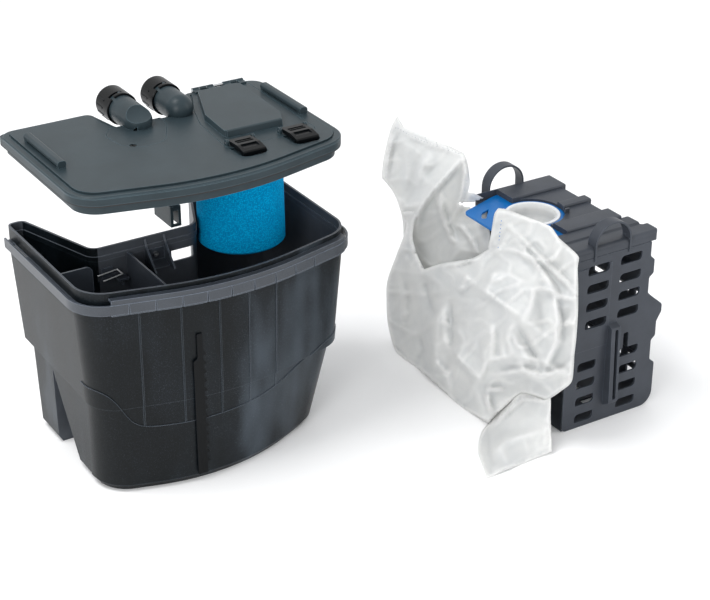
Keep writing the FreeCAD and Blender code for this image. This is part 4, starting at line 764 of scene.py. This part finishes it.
class Depth:
    """A smooth field over the picture through given (px, py, x) values, with folds added to it."""

    def __init__(self, knots, folds, wrinkle, seed):
        self.knots = np.array([[k[0], k[1]] for k in knots], float)
        values = np.array([k[2] for k in knots], float)
        n = len(knots)
        gap = np.linalg.norm(self.knots[:, None] - self.knots[None], axis=2)
        system = np.zeros((n + 3, n + 3))
        system[:n, :n] = self.kernel(gap) + np.eye(n) * KNOT_SOFTNESS
        system[:n, n] = 1.0
        system[:n, n + 1:] = self.knots
        system[n:, :n] = system[:n, n:].T
        self.weights = np.linalg.solve(system, np.concatenate([values, np.zeros(3)]))
        self.folds = folds
        self.wrinkle = wrinkle
        self.seed = seed

    @staticmethod
    def kernel(r):
        """The thin plate's weight at a distance."""
        return np.where(r > 1e-9, r * r * np.log(np.maximum(r, 1e-9)), 0.0)

    def field(self, places):
        """The smooth depth, without folds."""
        n = len(self.knots)
        r = np.linalg.norm(places[:, None] - self.knots[None], axis=2)
        return self.kernel(r) @ self.weights[:n] + self.weights[n] + places @ self.weights[n + 1:]

    def swell(self, u, v, layer):
        """Soft noise of about 0, one kind for each layer."""
        return noise.noise(Vector((u, v, self.seed + layer)))

    def ridge(self, u, v, layer):
        """Noise with sharp crests of 1, where the soft noise passes 0."""
        return 1.0 - abs(self.swell(u, v, layer)) * 2.0

    def relief(self, places):
        """Folds and small wrinkles, in millimetres towards the front."""
        height = np.zeros(len(places))
        for line, rise, width_a, width_b in self.folds:
            height += FOLD_SCALE * rise * fold_share(places, line, width_a, width_b)
        for i, (px, py) in enumerate(places):
            broad = self.swell(px * 0.035, py * 0.03, 0.0)
            fine = self.ridge(px * 0.09, py * 0.075, 5.0)
            small = self.swell(px * 0.33, py * 0.3, 9.0)
            crisp = self.ridge(px * 0.045 + 0.02 * py, py * 0.05, 2.0)
            facet = self.ridge(px * 0.021 - 0.011 * py, py * 0.024, 7.0)
            height[i] += self.wrinkle * (2.0 * broad + 7.0 * facet ** 3 + 2.6 * crisp ** 3 + 0.6 * fine * fine
                                         + 0.1 * small)
        return height

    def __call__(self, places):
        return self.field(places) - self.relief(places)


def inside(places, loop):
    """Which flat places lie in a closed loop."""
    hit = np.zeros(len(places), bool)
    for a, b in zip(loop, np.roll(loop, -1, axis=0)):
        if a[1] == b[1]:
            continue
        spans = (a[1] > places[:, 1]) != (b[1] > places[:, 1])
        cut = (b[0] - a[0]) * (places[:, 1] - a[1]) / (b[1] - a[1]) + a[0]
        hit ^= spans & (places[:, 0] < cut)
    return hit


def gap_to(places, others):
    """Each place's distance to the nearest of the others."""
    return np.min(np.linalg.norm(places[:, None] - others[None], axis=2), axis=1)


def cloth_point(px, py, x):
    """A pixel's place on the cloth at that X, or on the floor where that would lie below it."""
    point = on_plane(px, py, 0, x / 1000.0)
    return point if point.z > FLOOR_GAP else on_plane(px, py, 2, FLOOR_GAP)


def cloth_sheet(name, stretches, depth, mat, step=CLOTH_STEP):
    """Fills an outline in the picture with a fine mesh, creased along its folds, and places each point."""
    rim = closed_line(stretches, step)
    loop = np.array([[p.x, p.y] for p in rim])
    flat = [Vector((p.x, p.y)) for p in rim]
    edges = [(i, (i + 1) % len(flat)) for i in range(len(flat))]
    crease = []
    for line, rise, _, _ in depth.folds:
        run = np.array([[p.x, p.y] for p in smooth_line([(a, b, 0.0) for a, b in line], step)])
        keep = inside(run, loop) & (gap_to(run, loop) > step * 0.7)
        if crease:
            keep &= gap_to(run, np.array(crease)) > step * 0.7
        for i, place in enumerate(run):
            if keep[i]:
                crease.append(place)
                if i and keep[i - 1]:
                    edges.append((len(flat) + len(crease) - 2, len(flat) + len(crease) - 1))
    low, high = loop.min(axis=0), loop.max(axis=0)
    rows = []
    for row, y in enumerate(np.arange(low[1] + step * 0.5, high[1], step * 0.87)):
        rows += [(x, y) for x in np.arange(low[0] + (step * 0.5 if row % 2 else 0.0), high[0], step)]
    inner = np.array(rows)
    inner = inner[inside(inner, loop)]
    held = np.concatenate([loop, np.array(crease)]) if crease else loop
    inner = inner[gap_to(inner, held) > step * 0.6]
    points = flat + [Vector(p) for p in crease] + [Vector(p) for p in inner]
    verts, _, faces, *_ = delaunay_2d_cdt(points, edges, [list(range(len(flat)))], 1, 1e-6)
    places = np.array([[v.x, v.y] for v in verts])
    depths = depth(places)
    edge_x = {(round(p.x, 3), round(p.y, 3)): p.z for p in rim}
    placed = []
    for v, x in zip(verts, depths):
        x = edge_x.get((round(v.x, 3), round(v.y, 3)), x)
        placed.append(cloth_point(v.x, v.y, x))
    return cloth_object(name, placed, [tuple(f) for f in faces], mat)


def cloth_object(name, placed, faces, mat):
    """A sheet from points and faces, with the fleece's thickness."""
    mesh = bpy.data.meshes.new(name)
    mesh.from_pydata(placed, [], faces)
    obj = add_object(name, mesh)
    for face in mesh.polygons:
        face.use_smooth = True
    dress(obj, mat)
    skin = obj.modifiers.new("thickness", "SOLIDIFY")
    skin.thickness = CLOTH_THICKNESS
    skin.offset = 0.0
    return obj


def clear_of_plate(obj):
    """Takes out the faces of a sheet where the blue plate passes through it."""
    corners = [v.co for v in PLATE.data.vertices]
    low = [min(c[i] for c in corners) for i in range(3)]
    high = [max(c[i] for c in corners) for i in range(3)]
    bm = bmesh.new()
    bm.from_mesh(obj.data)
    doomed = []
    for face in bm.faces:
        for vert in face.verts:
            p = vert.co
            if all(low[i] - PLATE_GAP < p[i] < high[i] + PLATE_GAP for i in range(3)):
                doomed.append(face)
                break
    bmesh.ops.delete(bm, geom=doomed, context="FACES")
    bm.to_mesh(obj.data)
    bm.free()


def stitches(name, lines, depth, mat, pitch, length, width):
    """Short threads along lines on a sheet, each a small flat lozenge."""
    verts, faces = [], []
    for line in lines:
        run = smooth_line([(a, b, 0.0) for a, b in line], 0.25)
        since = pitch
        for a, b in zip(run, run[1:]):
            since += (b - a).xy.length
            if since < pitch:
                continue
            since = 0.0
            d = (b - a).xy.normalized()
            side = Vector((-d.y, d.x)) * width / 2.0
            tip = d * length / 2.0
            here = a.xy
            ring = [here - tip, here - side, here + tip, here + side]
            places = np.array([[p.x, p.y] for p in ring + [here]])
            xs = depth(places)
            first = len(verts)
            for p, x in zip(places[:4], xs[:4]):
                verts.append(cloth_point(p[0], p[1], x - STITCH_LIFT * 0.6))
            verts.append(cloth_point(here.x, here.y, xs[4] - STITCH_LIFT * 1.8))
            verts.append(cloth_point(here.x, here.y, xs[4] + 0.1))
            for i in range(4):
                j = (i + 1) % 4
                faces.append((first + i, first + j, first + 4))
                faces.append((first + j, first + i, first + 5))
    mesh = bpy.data.meshes.new(name)
    mesh.from_pydata(verts, [], faces)
    obj = add_object(name, mesh)
    dress(obj, mat)
    return obj


def fleece():
    """Thin white fleece: felted fibre, a faint clouding, light through the cloth, painted shade in its
    hollows and painted highlights on its crests.
    """
    light, dark = lin(238, 238, 236), lin(216, 218, 219)
    m = Nodes("fleece_white", light, 0.62, Sheen_Weight=0.2, Sheen_Roughness=0.45)
    fibre = m.noise(420.0, 4.0, 0.7)
    cloud = m.noise(14.0, 3.0, 0.6)
    base = m.mix(m.rise(fibre, 0.3, 0.7, 0.0, 0.4), m.ramp(cloud, [(0.3, dark), (0.7, light)]), dark)
    # Painted shade and highlight: where the mesh is hollow the colour turns grey, and where it is sharp and
    # raised it turns whiter.
    crease = m.rise(m.add("ShaderNodeNewGeometry").outputs["Pointiness"], 0.455, 0.545, 0.0, 1.0)
    hollow_shade = m.rise(crease, 0.0, 0.5, 0.45, 0.0)
    crest_highlight = m.mix(m.rise(crease, 0.5, 1.0, 0.0, 0.7), base, lin(250, 250, 249))
    m.color(m.mix(hollow_shade, crest_highlight, lin(176, 181, 184)))
    m.rough(m.rise(fibre, 0.3, 0.7, 0.42, 0.66))
    m.bump(fibre, 0.18, 0.0003)
    through = m.add("ShaderNodeBsdfTranslucent")
    through.inputs["Color"].default_value = (*light, 1.0)
    mix = m.add("ShaderNodeMixShader", Fac=0.38)
    m.link(m.bsdf.outputs["BSDF"], mix.inputs[1])
    m.link(through.outputs["BSDF"], mix.inputs[2])
    m.link(mix.outputs["Shader"], m.tree.nodes["Material Output"].inputs["Surface"])
    return m.mat


FRONT = [
    [(401.5, 212.2, 399), (405.2, 220.5, 397), (405.4, 231, 396), (396, 256.5, 390), (387.6, 280.4, 384),
     (386.6, 299, 381), (387.6, 320, 378), (391, 337, 374), (396, 351, 369), (404, 358, 366),
     (415.7, 366.4, 361), (433.9, 381.8, 358), (459.2, 404.3, 357)],
    [(488.7, 423.6, 357), (497, 414, 365), (506.9, 405.7, 374), (514, 398.5, 381), (522.3, 393, 386),
     (535, 396, 391)],
    [(544.8, 399.5, 396), (551.8, 397.2, 400), (563, 389.5, 405), (571.4, 381.8, 409), (573.5, 368, 411),
     (574.2, 355.2, 413), (576, 340, 414), (577, 327, 415), (577.9, 310, 416), (578, 285, 416),
     (577.5, 268, 416)],
    [(579, 258, 416), (577, 254.5, 415), (569, 247, 411), (559, 238, 406), (552, 228, 402), (545, 224, 399),
     (532, 219, 396), (520, 214.5, 393), (509, 210.5, 390)],
    [(498.5, 208.1, 386), (495.5, 212, 385.5), (494, 216, 385), (491.5, 231.3, 382)],
    [(488, 249.5, 379), (473.2, 257.9, 366), (459.2, 260.7, 361), (442.3, 263.5, 357)],
    [(424.1, 269.4, 362), (417, 254, 374), (412.4, 236, 385), (415.5, 221, 391)],
    [(421.5, 208.4, 395), (411, 210.3, 397)],
]
FRONT_INNER = [
    (480, 318, 337), (440, 320, 350), (412, 320, 362), (520, 300, 352), (480, 368, 342), (540, 340, 376),
    (500, 268, 356), (460, 292, 344), (555, 290, 398), (560, 330, 402), (530, 375, 378), (505, 345, 350),
    (430, 350, 352), (456, 380, 350), (404, 290, 374), (540, 255, 392), (515, 235, 384)]
FRONT_FOLDS = [
    ([(487, 251), (497.8, 249.5), (510.4, 233.4)], 1.2, 3.0, 3.0),
    ([(503.4, 221.5), (522, 239), (545, 262), (571.4, 287.4), (575.6, 300)], 2.2, 6.0, 4.0),
    ([(509.7, 231), (536, 263), (563, 298.6)], 1.8, 4.0, 8.0),
    ([(497, 266), (483, 300)], 3.0, 16.0, 12.0),
    ([(448, 301.8), (436.7, 318.7), (435.3, 352.4), (436.7, 374.8)], 4.5, 18.0, 14.0),
    ([(424.5, 273), (428, 296), (435.3, 318.7)], -3.0, 8.0, 9.0),
    ([(450.8, 303.2), (450.8, 341.1), (446.6, 346.7)], -2.6, 9.0, 7.0),
    ([(449.4, 348.1), (467, 366), (484.4, 383.2)], 3.6, 14.0, 7.0),
    ([(491.5, 322), (492.5, 342), (491.5, 362)], 2.2, 7.0, 14.0),
    ([(491.5, 374.8), (522.3, 370.6), (542, 375.5), (568.6, 369.2)], 3.4, 6.0, 9.0),
    ([(484.4, 388.8), (505.5, 388.8)], 2.4, 5.0, 5.0),
    ([(484.4, 391.6), (492.9, 415.5)], 2.2, 6.0, 5.0),
    ([(554.6, 294.8), (558.5, 320), (557.4, 341.1), (542, 374.8)], 4.0, 5.0, 16.0),
    ([(515, 320), (533, 352), (543, 369)], -2.2, 7.0, 9.0),
    ([(405, 234), (404, 252), (410, 268)], 2.4, 6.0, 7.0),
    ([(398, 272), (404, 300), (402, 332)], 3.0, 7.0, 7.0),
    ([(443, 266), (462, 263), (486, 252)], 1.4, 2.5, 3.0),
    ([(470, 272), (458, 292)], 2.2, 7.0, 9.0),
    ([(450, 392), (446, 374), (430, 356)], 2.6, 6.0, 6.0),
    ([(415, 366), (424, 350), (420, 330)], -2.0, 6.0, 6.0),
]
EAR = [
    [(397.4, 116.6, 390), (400, 121, 391), (403.8, 126.9, 392), (409.5, 129.3, 393), (415.7, 131.5, 395),
     (421, 133.6, 396), (426.2, 135.9, 398), (431, 138.5, 400), (436.7, 141.3, 402), (442.5, 143.3, 403),
     (448, 145.6, 405), (455, 149, 407)],
    [(463.4, 153.2, 409), (465.5, 157.5, 410), (467.3, 163, 411), (468.5, 170, 412), (469.8, 183, 412),
     (468.8, 188, 411)],
    [(467.9, 192.3, 411), (474, 193.2, 418)],
    [(484.5, 198.6, 444), (487, 212, 440), (489, 226, 432), (491, 240, 425)],
    [(496, 262, 421), (478, 280, 418), (450, 288, 414), (424, 284, 410), (408, 262, 405), (404, 240, 404),
     (403, 222, 404), (399.6, 207.4, 402), (393.2, 192, 396)],
    [(382.3, 178, 391), (383.4, 161.1, 389), (390.4, 130.3, 389)],
]
EAR_INNER = [
    (410, 150, 392), (440, 165, 400), (455, 180, 404), (420, 180, 396), (436, 189, 396), (410, 200, 400),
    (445, 215, 410), (470, 215, 424), (430, 245, 412), (455, 250, 416), (475, 255, 421), (415, 225, 404)]
EAR_FOLDS = [
    ([(462, 159.7), (449, 174), (436.7, 187.8), (431, 194.8), (421.3, 208.8), (414, 230)], 6.0, 5.0, 16.0),
    ([(436.7, 189.2), (442.3, 211.6), (448, 228.5), (455, 245.3)], 3.6, 6.0, 5.0),
    ([(464.8, 156.9), (465.5, 175.2), (462, 196.2), (459.2, 208.8), (451.5, 222)], 1.8, 3.0, 5.0),
    ([(451.5, 222.9), (462, 227.1), (471.8, 239.7), (477.4, 255.1)], 2.0, 4.0, 4.0),
    ([(397.4, 126), (390.4, 154.1), (386.9, 180.8)], 1.1, 2.2, 2.2),
    ([(398.2, 129.6), (410.1, 136.6), (431.1, 145.7), (448, 150.6), (460.6, 155.5)], 0.9, 2.0, 2.0),
    ([(401.2, 208.0), (412, 206.5), (424, 203)], 1.6, 4.0, 3.0),
    ([(404, 140), (409, 162), (406, 190)], 1.6, 9.0, 7.0),
    ([(430, 152), (422, 172), (418, 190)], 1.8, 9.0, 8.0),
]
FLAP = [
    [(544.8, 399.5, 396.5), (550.4, 395.8, 401), (550.6, 419.7, 396)],
    [(552, 451.3, 388), (520, 464.5, 335)],
    [(487.2, 478, 277), (482, 464, 300), (478.1, 450.6, 320), (480.9, 433.7, 340)],
    [(488.7, 423.2, 357.4), (506.9, 405.7, 374.6), (522.3, 393, 386.6)],
]
FLAP_INNER = [(515, 430, 362), (500, 450, 322), (535, 440, 374), (520, 408, 382)]
FLAP_FOLDS = [
    ([(491, 427), (508, 412), (524, 398), (546, 402)], 1.4, 2.4, 3.0),
    ([(482, 462), (506, 440), (548, 430)], 1.0, 8.0, 8.0),
]
BLUE_STITCHES = [[(501.3, 221.0), (500.6, 227), (499.4, 237), (497.8, 249.0)]]
GREY_STITCHES = [[(398.2, 128.2), (410.1, 135.2), (431.1, 144.3), (448, 149.2), (460.6, 154.1)],
                 [(395.6, 128.0), (388.8, 154.1), (385.4, 178.8)]]
EDGE_TICKS = [[(425.2, 137.6), (426.6, 141.4)], [(436.4, 142.6), (437.6, 146.2)],
              [(447.2, 147), (448.4, 150.4)]]
BACK_CORNER = [(500, 212, 404), (492, 250, 414), (470, 262, 418), (430, 272, 412), (410, 250, 405)]
BACK_INNER = [
    (430, 340, 420), (470, 300, 428), (470, 350, 426), (500, 260, 426), (520, 320, 428), (540, 290, 428),
    (550, 350, 426), (510, 380, 424), (480, 390, 412)]


def joined(stretches):
    """The points of all stretches in one list."""
    return [p for stretch in stretches for p in stretch]


def make_neck(mat):
    """The bag's mouth: a collar of cloth inside the ring that falls into a wrinkled funnel."""
    x, y = RING_X / 1000.0, (RING_Y + DRAWING_SHIFT) / 1000.0
    top = (COLLAR_Z + PLATE_THICKNESS + 2.4) / 1000.0
    profile = [(0.0346, top), (0.0342, top - 0.01), (0.0335, top - 0.016), (0.029, top - 0.021),
               (0.021, top - 0.024), (0.012, top - 0.025), (0.004, top - 0.025)]
    count = CIRCLE_STEPS
    verts, faces = [], []
    for row, (radius, z) in enumerate(profile):
        for i in range(count):
            angle = 2.0 * math.pi * i / count
            crease = noise.noise(Vector((3.0 * math.cos(angle), 3.0 * math.sin(angle), 2.0)))
            ripple = 0.0016 * crease * min(1.0, row / 2.0)
            sink = 0.006 * max(0.0, math.cos(angle - 2.4)) * (row / 6.0) ** 2
            verts.append((x + (radius + ripple) * math.cos(angle), y + (radius + ripple) * math.sin(angle),
                          z + ripple * 1.5 - sink))
    for row in range(len(profile) - 1):
        for i in range(count):
            a, b = row * count + i, row * count + (i + 1) % count
            faces.append((a, b, b + count, a + count))
    faces.append(tuple((len(profile) - 1) * count + i for i in range(count)))
    return cloth_object("bag_neck", verts, faces, mat)


def make_bag():
    """The bag's five sheets and its seams, all carried by the collar."""
    mat = fleece()
    front_depth = Depth(joined(FRONT) + FRONT_INNER, FRONT_FOLDS, 0.8, 3.0)
    ear_depth = Depth(joined(EAR) + EAR_INNER, EAR_FOLDS, 0.55, 11.0)
    front = cloth_sheet("bag_front", FRONT, front_depth, mat)
    ear = cloth_sheet("bag_ear", EAR, ear_depth, mat)
    flap_depth = Depth(joined(FLAP) + FLAP_INNER, FLAP_FOLDS, 0.3, 21.0)
    flap = cloth_sheet("bag_flap", FLAP, flap_depth, mat)
    back_line = joined(FRONT[:4]) + BACK_CORNER
    back_depth = Depth([(a, b, c + 3) for a, b, c in back_line] + BACK_INNER, (), 0.4, 31.0)
    back_edge = [[(a, b, c + 1.2) for a, b, c in back_line]]
    back = cloth_sheet("bag_back", back_edge, back_depth, mat, BACK_STEP)
    neck = make_neck(mat)
    for piece in (ear, back):
        clear_of_plate(piece)
    blue = stitches("stitches_blue", BLUE_STITCHES, front_depth, MATS["thread_blue"], 3.7, 1.7, 1.0)
    grey = stitches("stitches_grey", GREY_STITCHES, ear_depth, MATS["thread_grey"], 3.2, 2.0, 0.45)
    ticks = stitches("edge_ticks", EDGE_TICKS, ear_depth, MATS["thread_grey"], 1.6, 1.6, 0.5)
    for piece in (front, ear, flap, back, neck, blue, grey, ticks):
        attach(piece, "collar")
    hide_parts("filter_bag")


make_bag()


# Level marks: a row of small teeth along the level strip's right edge, in metres

TOOTH_COUNT = 13
TEETH_START, TEETH_MARGIN = 0.02, 0.05
TOOTH_REACH, TOOTH_ROOT, TOOTH_LOW, TOOTH_TIP, TOOTH_HIGH = 0.0052, 0.001, 0.0045, 0.003, 0.0055


def level_teeth():
    """Small triangles that lie on the tub's front beside the strip."""
    low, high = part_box("level_strip")
    verts, faces = [], []
    for i in range(TOOTH_COUNT):
        z = low.z + TEETH_START + (high.z - low.z - TEETH_MARGIN) * i / (TOOTH_COUNT - 1)
        first = len(verts)
        for y in (low.y + 0.0006, low.y + 0.004):
            verts += [(high.x - TOOTH_ROOT, y, z - TOOTH_LOW), (high.x + TOOTH_REACH, y, z - TOOTH_TIP),
                      (high.x - TOOTH_ROOT, y, z + TOOTH_HIGH)]
        faces += [(first, first + 2, first + 1), (first + 3, first + 4, first + 5)]
        faces += [(first + k, first + (k + 1) % 3, first + (k + 1) % 3 + 3, first + k + 3) for k in range(3)]
    mesh = bpy.data.meshes.new("level_teeth")
    mesh.from_pydata(verts, [], faces)
    teeth = add_object("level_teeth", outward(mesh))
    dress(teeth, MATS["black"])
    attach(teeth, body_of(NODES["level_strip"])[0])


level_teeth()


# Stage and light

FLOOR_REACH, FLOOR_DROP = 14.0, 0.0005


def make_stage():
    """A wide pale floor, a hair under the pieces."""
    mesh = bpy.data.meshes.new("floor")
    reach = FLOOR_REACH
    corners = [(-reach, -reach, 0), (reach, -reach, 0), (reach, reach, 0), (-reach, reach, 0)]
    mesh.from_pydata(corners, [], [(0, 1, 2, 3)])
    floor = add_object("floor", mesh)
    floor.location.z = -FLOOR_DROP
    dress(floor, Nodes("floor_white", (0.97, 0.97, 0.97), 0.8, Specular_IOR_Level=0.2).mat)


def make_world():
    """Soft light on the pieces, and plain white where the camera, a gloss or a clear piece sees the sky."""
    world = bpy.data.worlds.new("studio")
    bpy.context.scene.world = world
    world.use_nodes = True
    tree = world.node_tree
    tree.nodes.clear()
    out = tree.nodes.new("ShaderNodeOutputWorld")
    path = tree.nodes.new("ShaderNodeLightPath")
    soft = tree.nodes.new("ShaderNodeBackground")
    soft.inputs["Color"].default_value = (0.975, 0.985, 1.0, 1.0)
    soft.inputs["Strength"].default_value = 0.9
    white = tree.nodes.new("ShaderNodeBackground")
    white.inputs["Color"].default_value = (1.0, 1.0, 1.0, 1.0)
    white.inputs["Strength"].default_value = 1.0
    mix = tree.nodes.new("ShaderNodeMixShader")
    seen = path.outputs["Is Camera Ray"]
    for kind in ("Is Glossy Ray", "Is Transmission Ray"):
        either = tree.nodes.new("ShaderNodeMath")
        either.operation = "MAXIMUM"
        tree.links.new(seen, either.inputs[0])
        tree.links.new(path.outputs[kind], either.inputs[1])
        seen = either.outputs["Value"]
    tree.links.new(seen, mix.inputs["Fac"])
    tree.links.new(soft.outputs["Background"], mix.inputs[1])
    tree.links.new(white.outputs["Background"], mix.inputs[2])
    tree.links.new(mix.outputs["Shader"], out.inputs["Surface"])


def lamp(name, place, target, size, power):
    """A soft rectangular lamp that faces its target; metres and watts."""
    data = bpy.data.lights.new(name, "AREA")
    data.shape = "RECTANGLE"
    data.size, data.size_y = size
    data.energy = power
    obj = add_object(name, data)
    obj.location = place
    obj.rotation_mode = "QUATERNION"
    obj.rotation_quaternion = (Vector(target) - Vector(place)).to_track_quat("-Z", "Y")


bpy.context.scene.view_settings.view_transform = "Standard"
make_stage()
make_world()
lamp("key", (-1.1, 0.25, 2.9), (0.25, 0.0, 0.2), (1.3, 1.3), 46.0)
lamp("left", (-2.4, -1.9, 1.3), (0.3, 0.0, 0.2), (1.4, 1.4), 38.0)
lamp("right", (2.4, -2.0, 1.5), (0.3, 0.0, 0.2), (0.9, 1.8), 14.0)
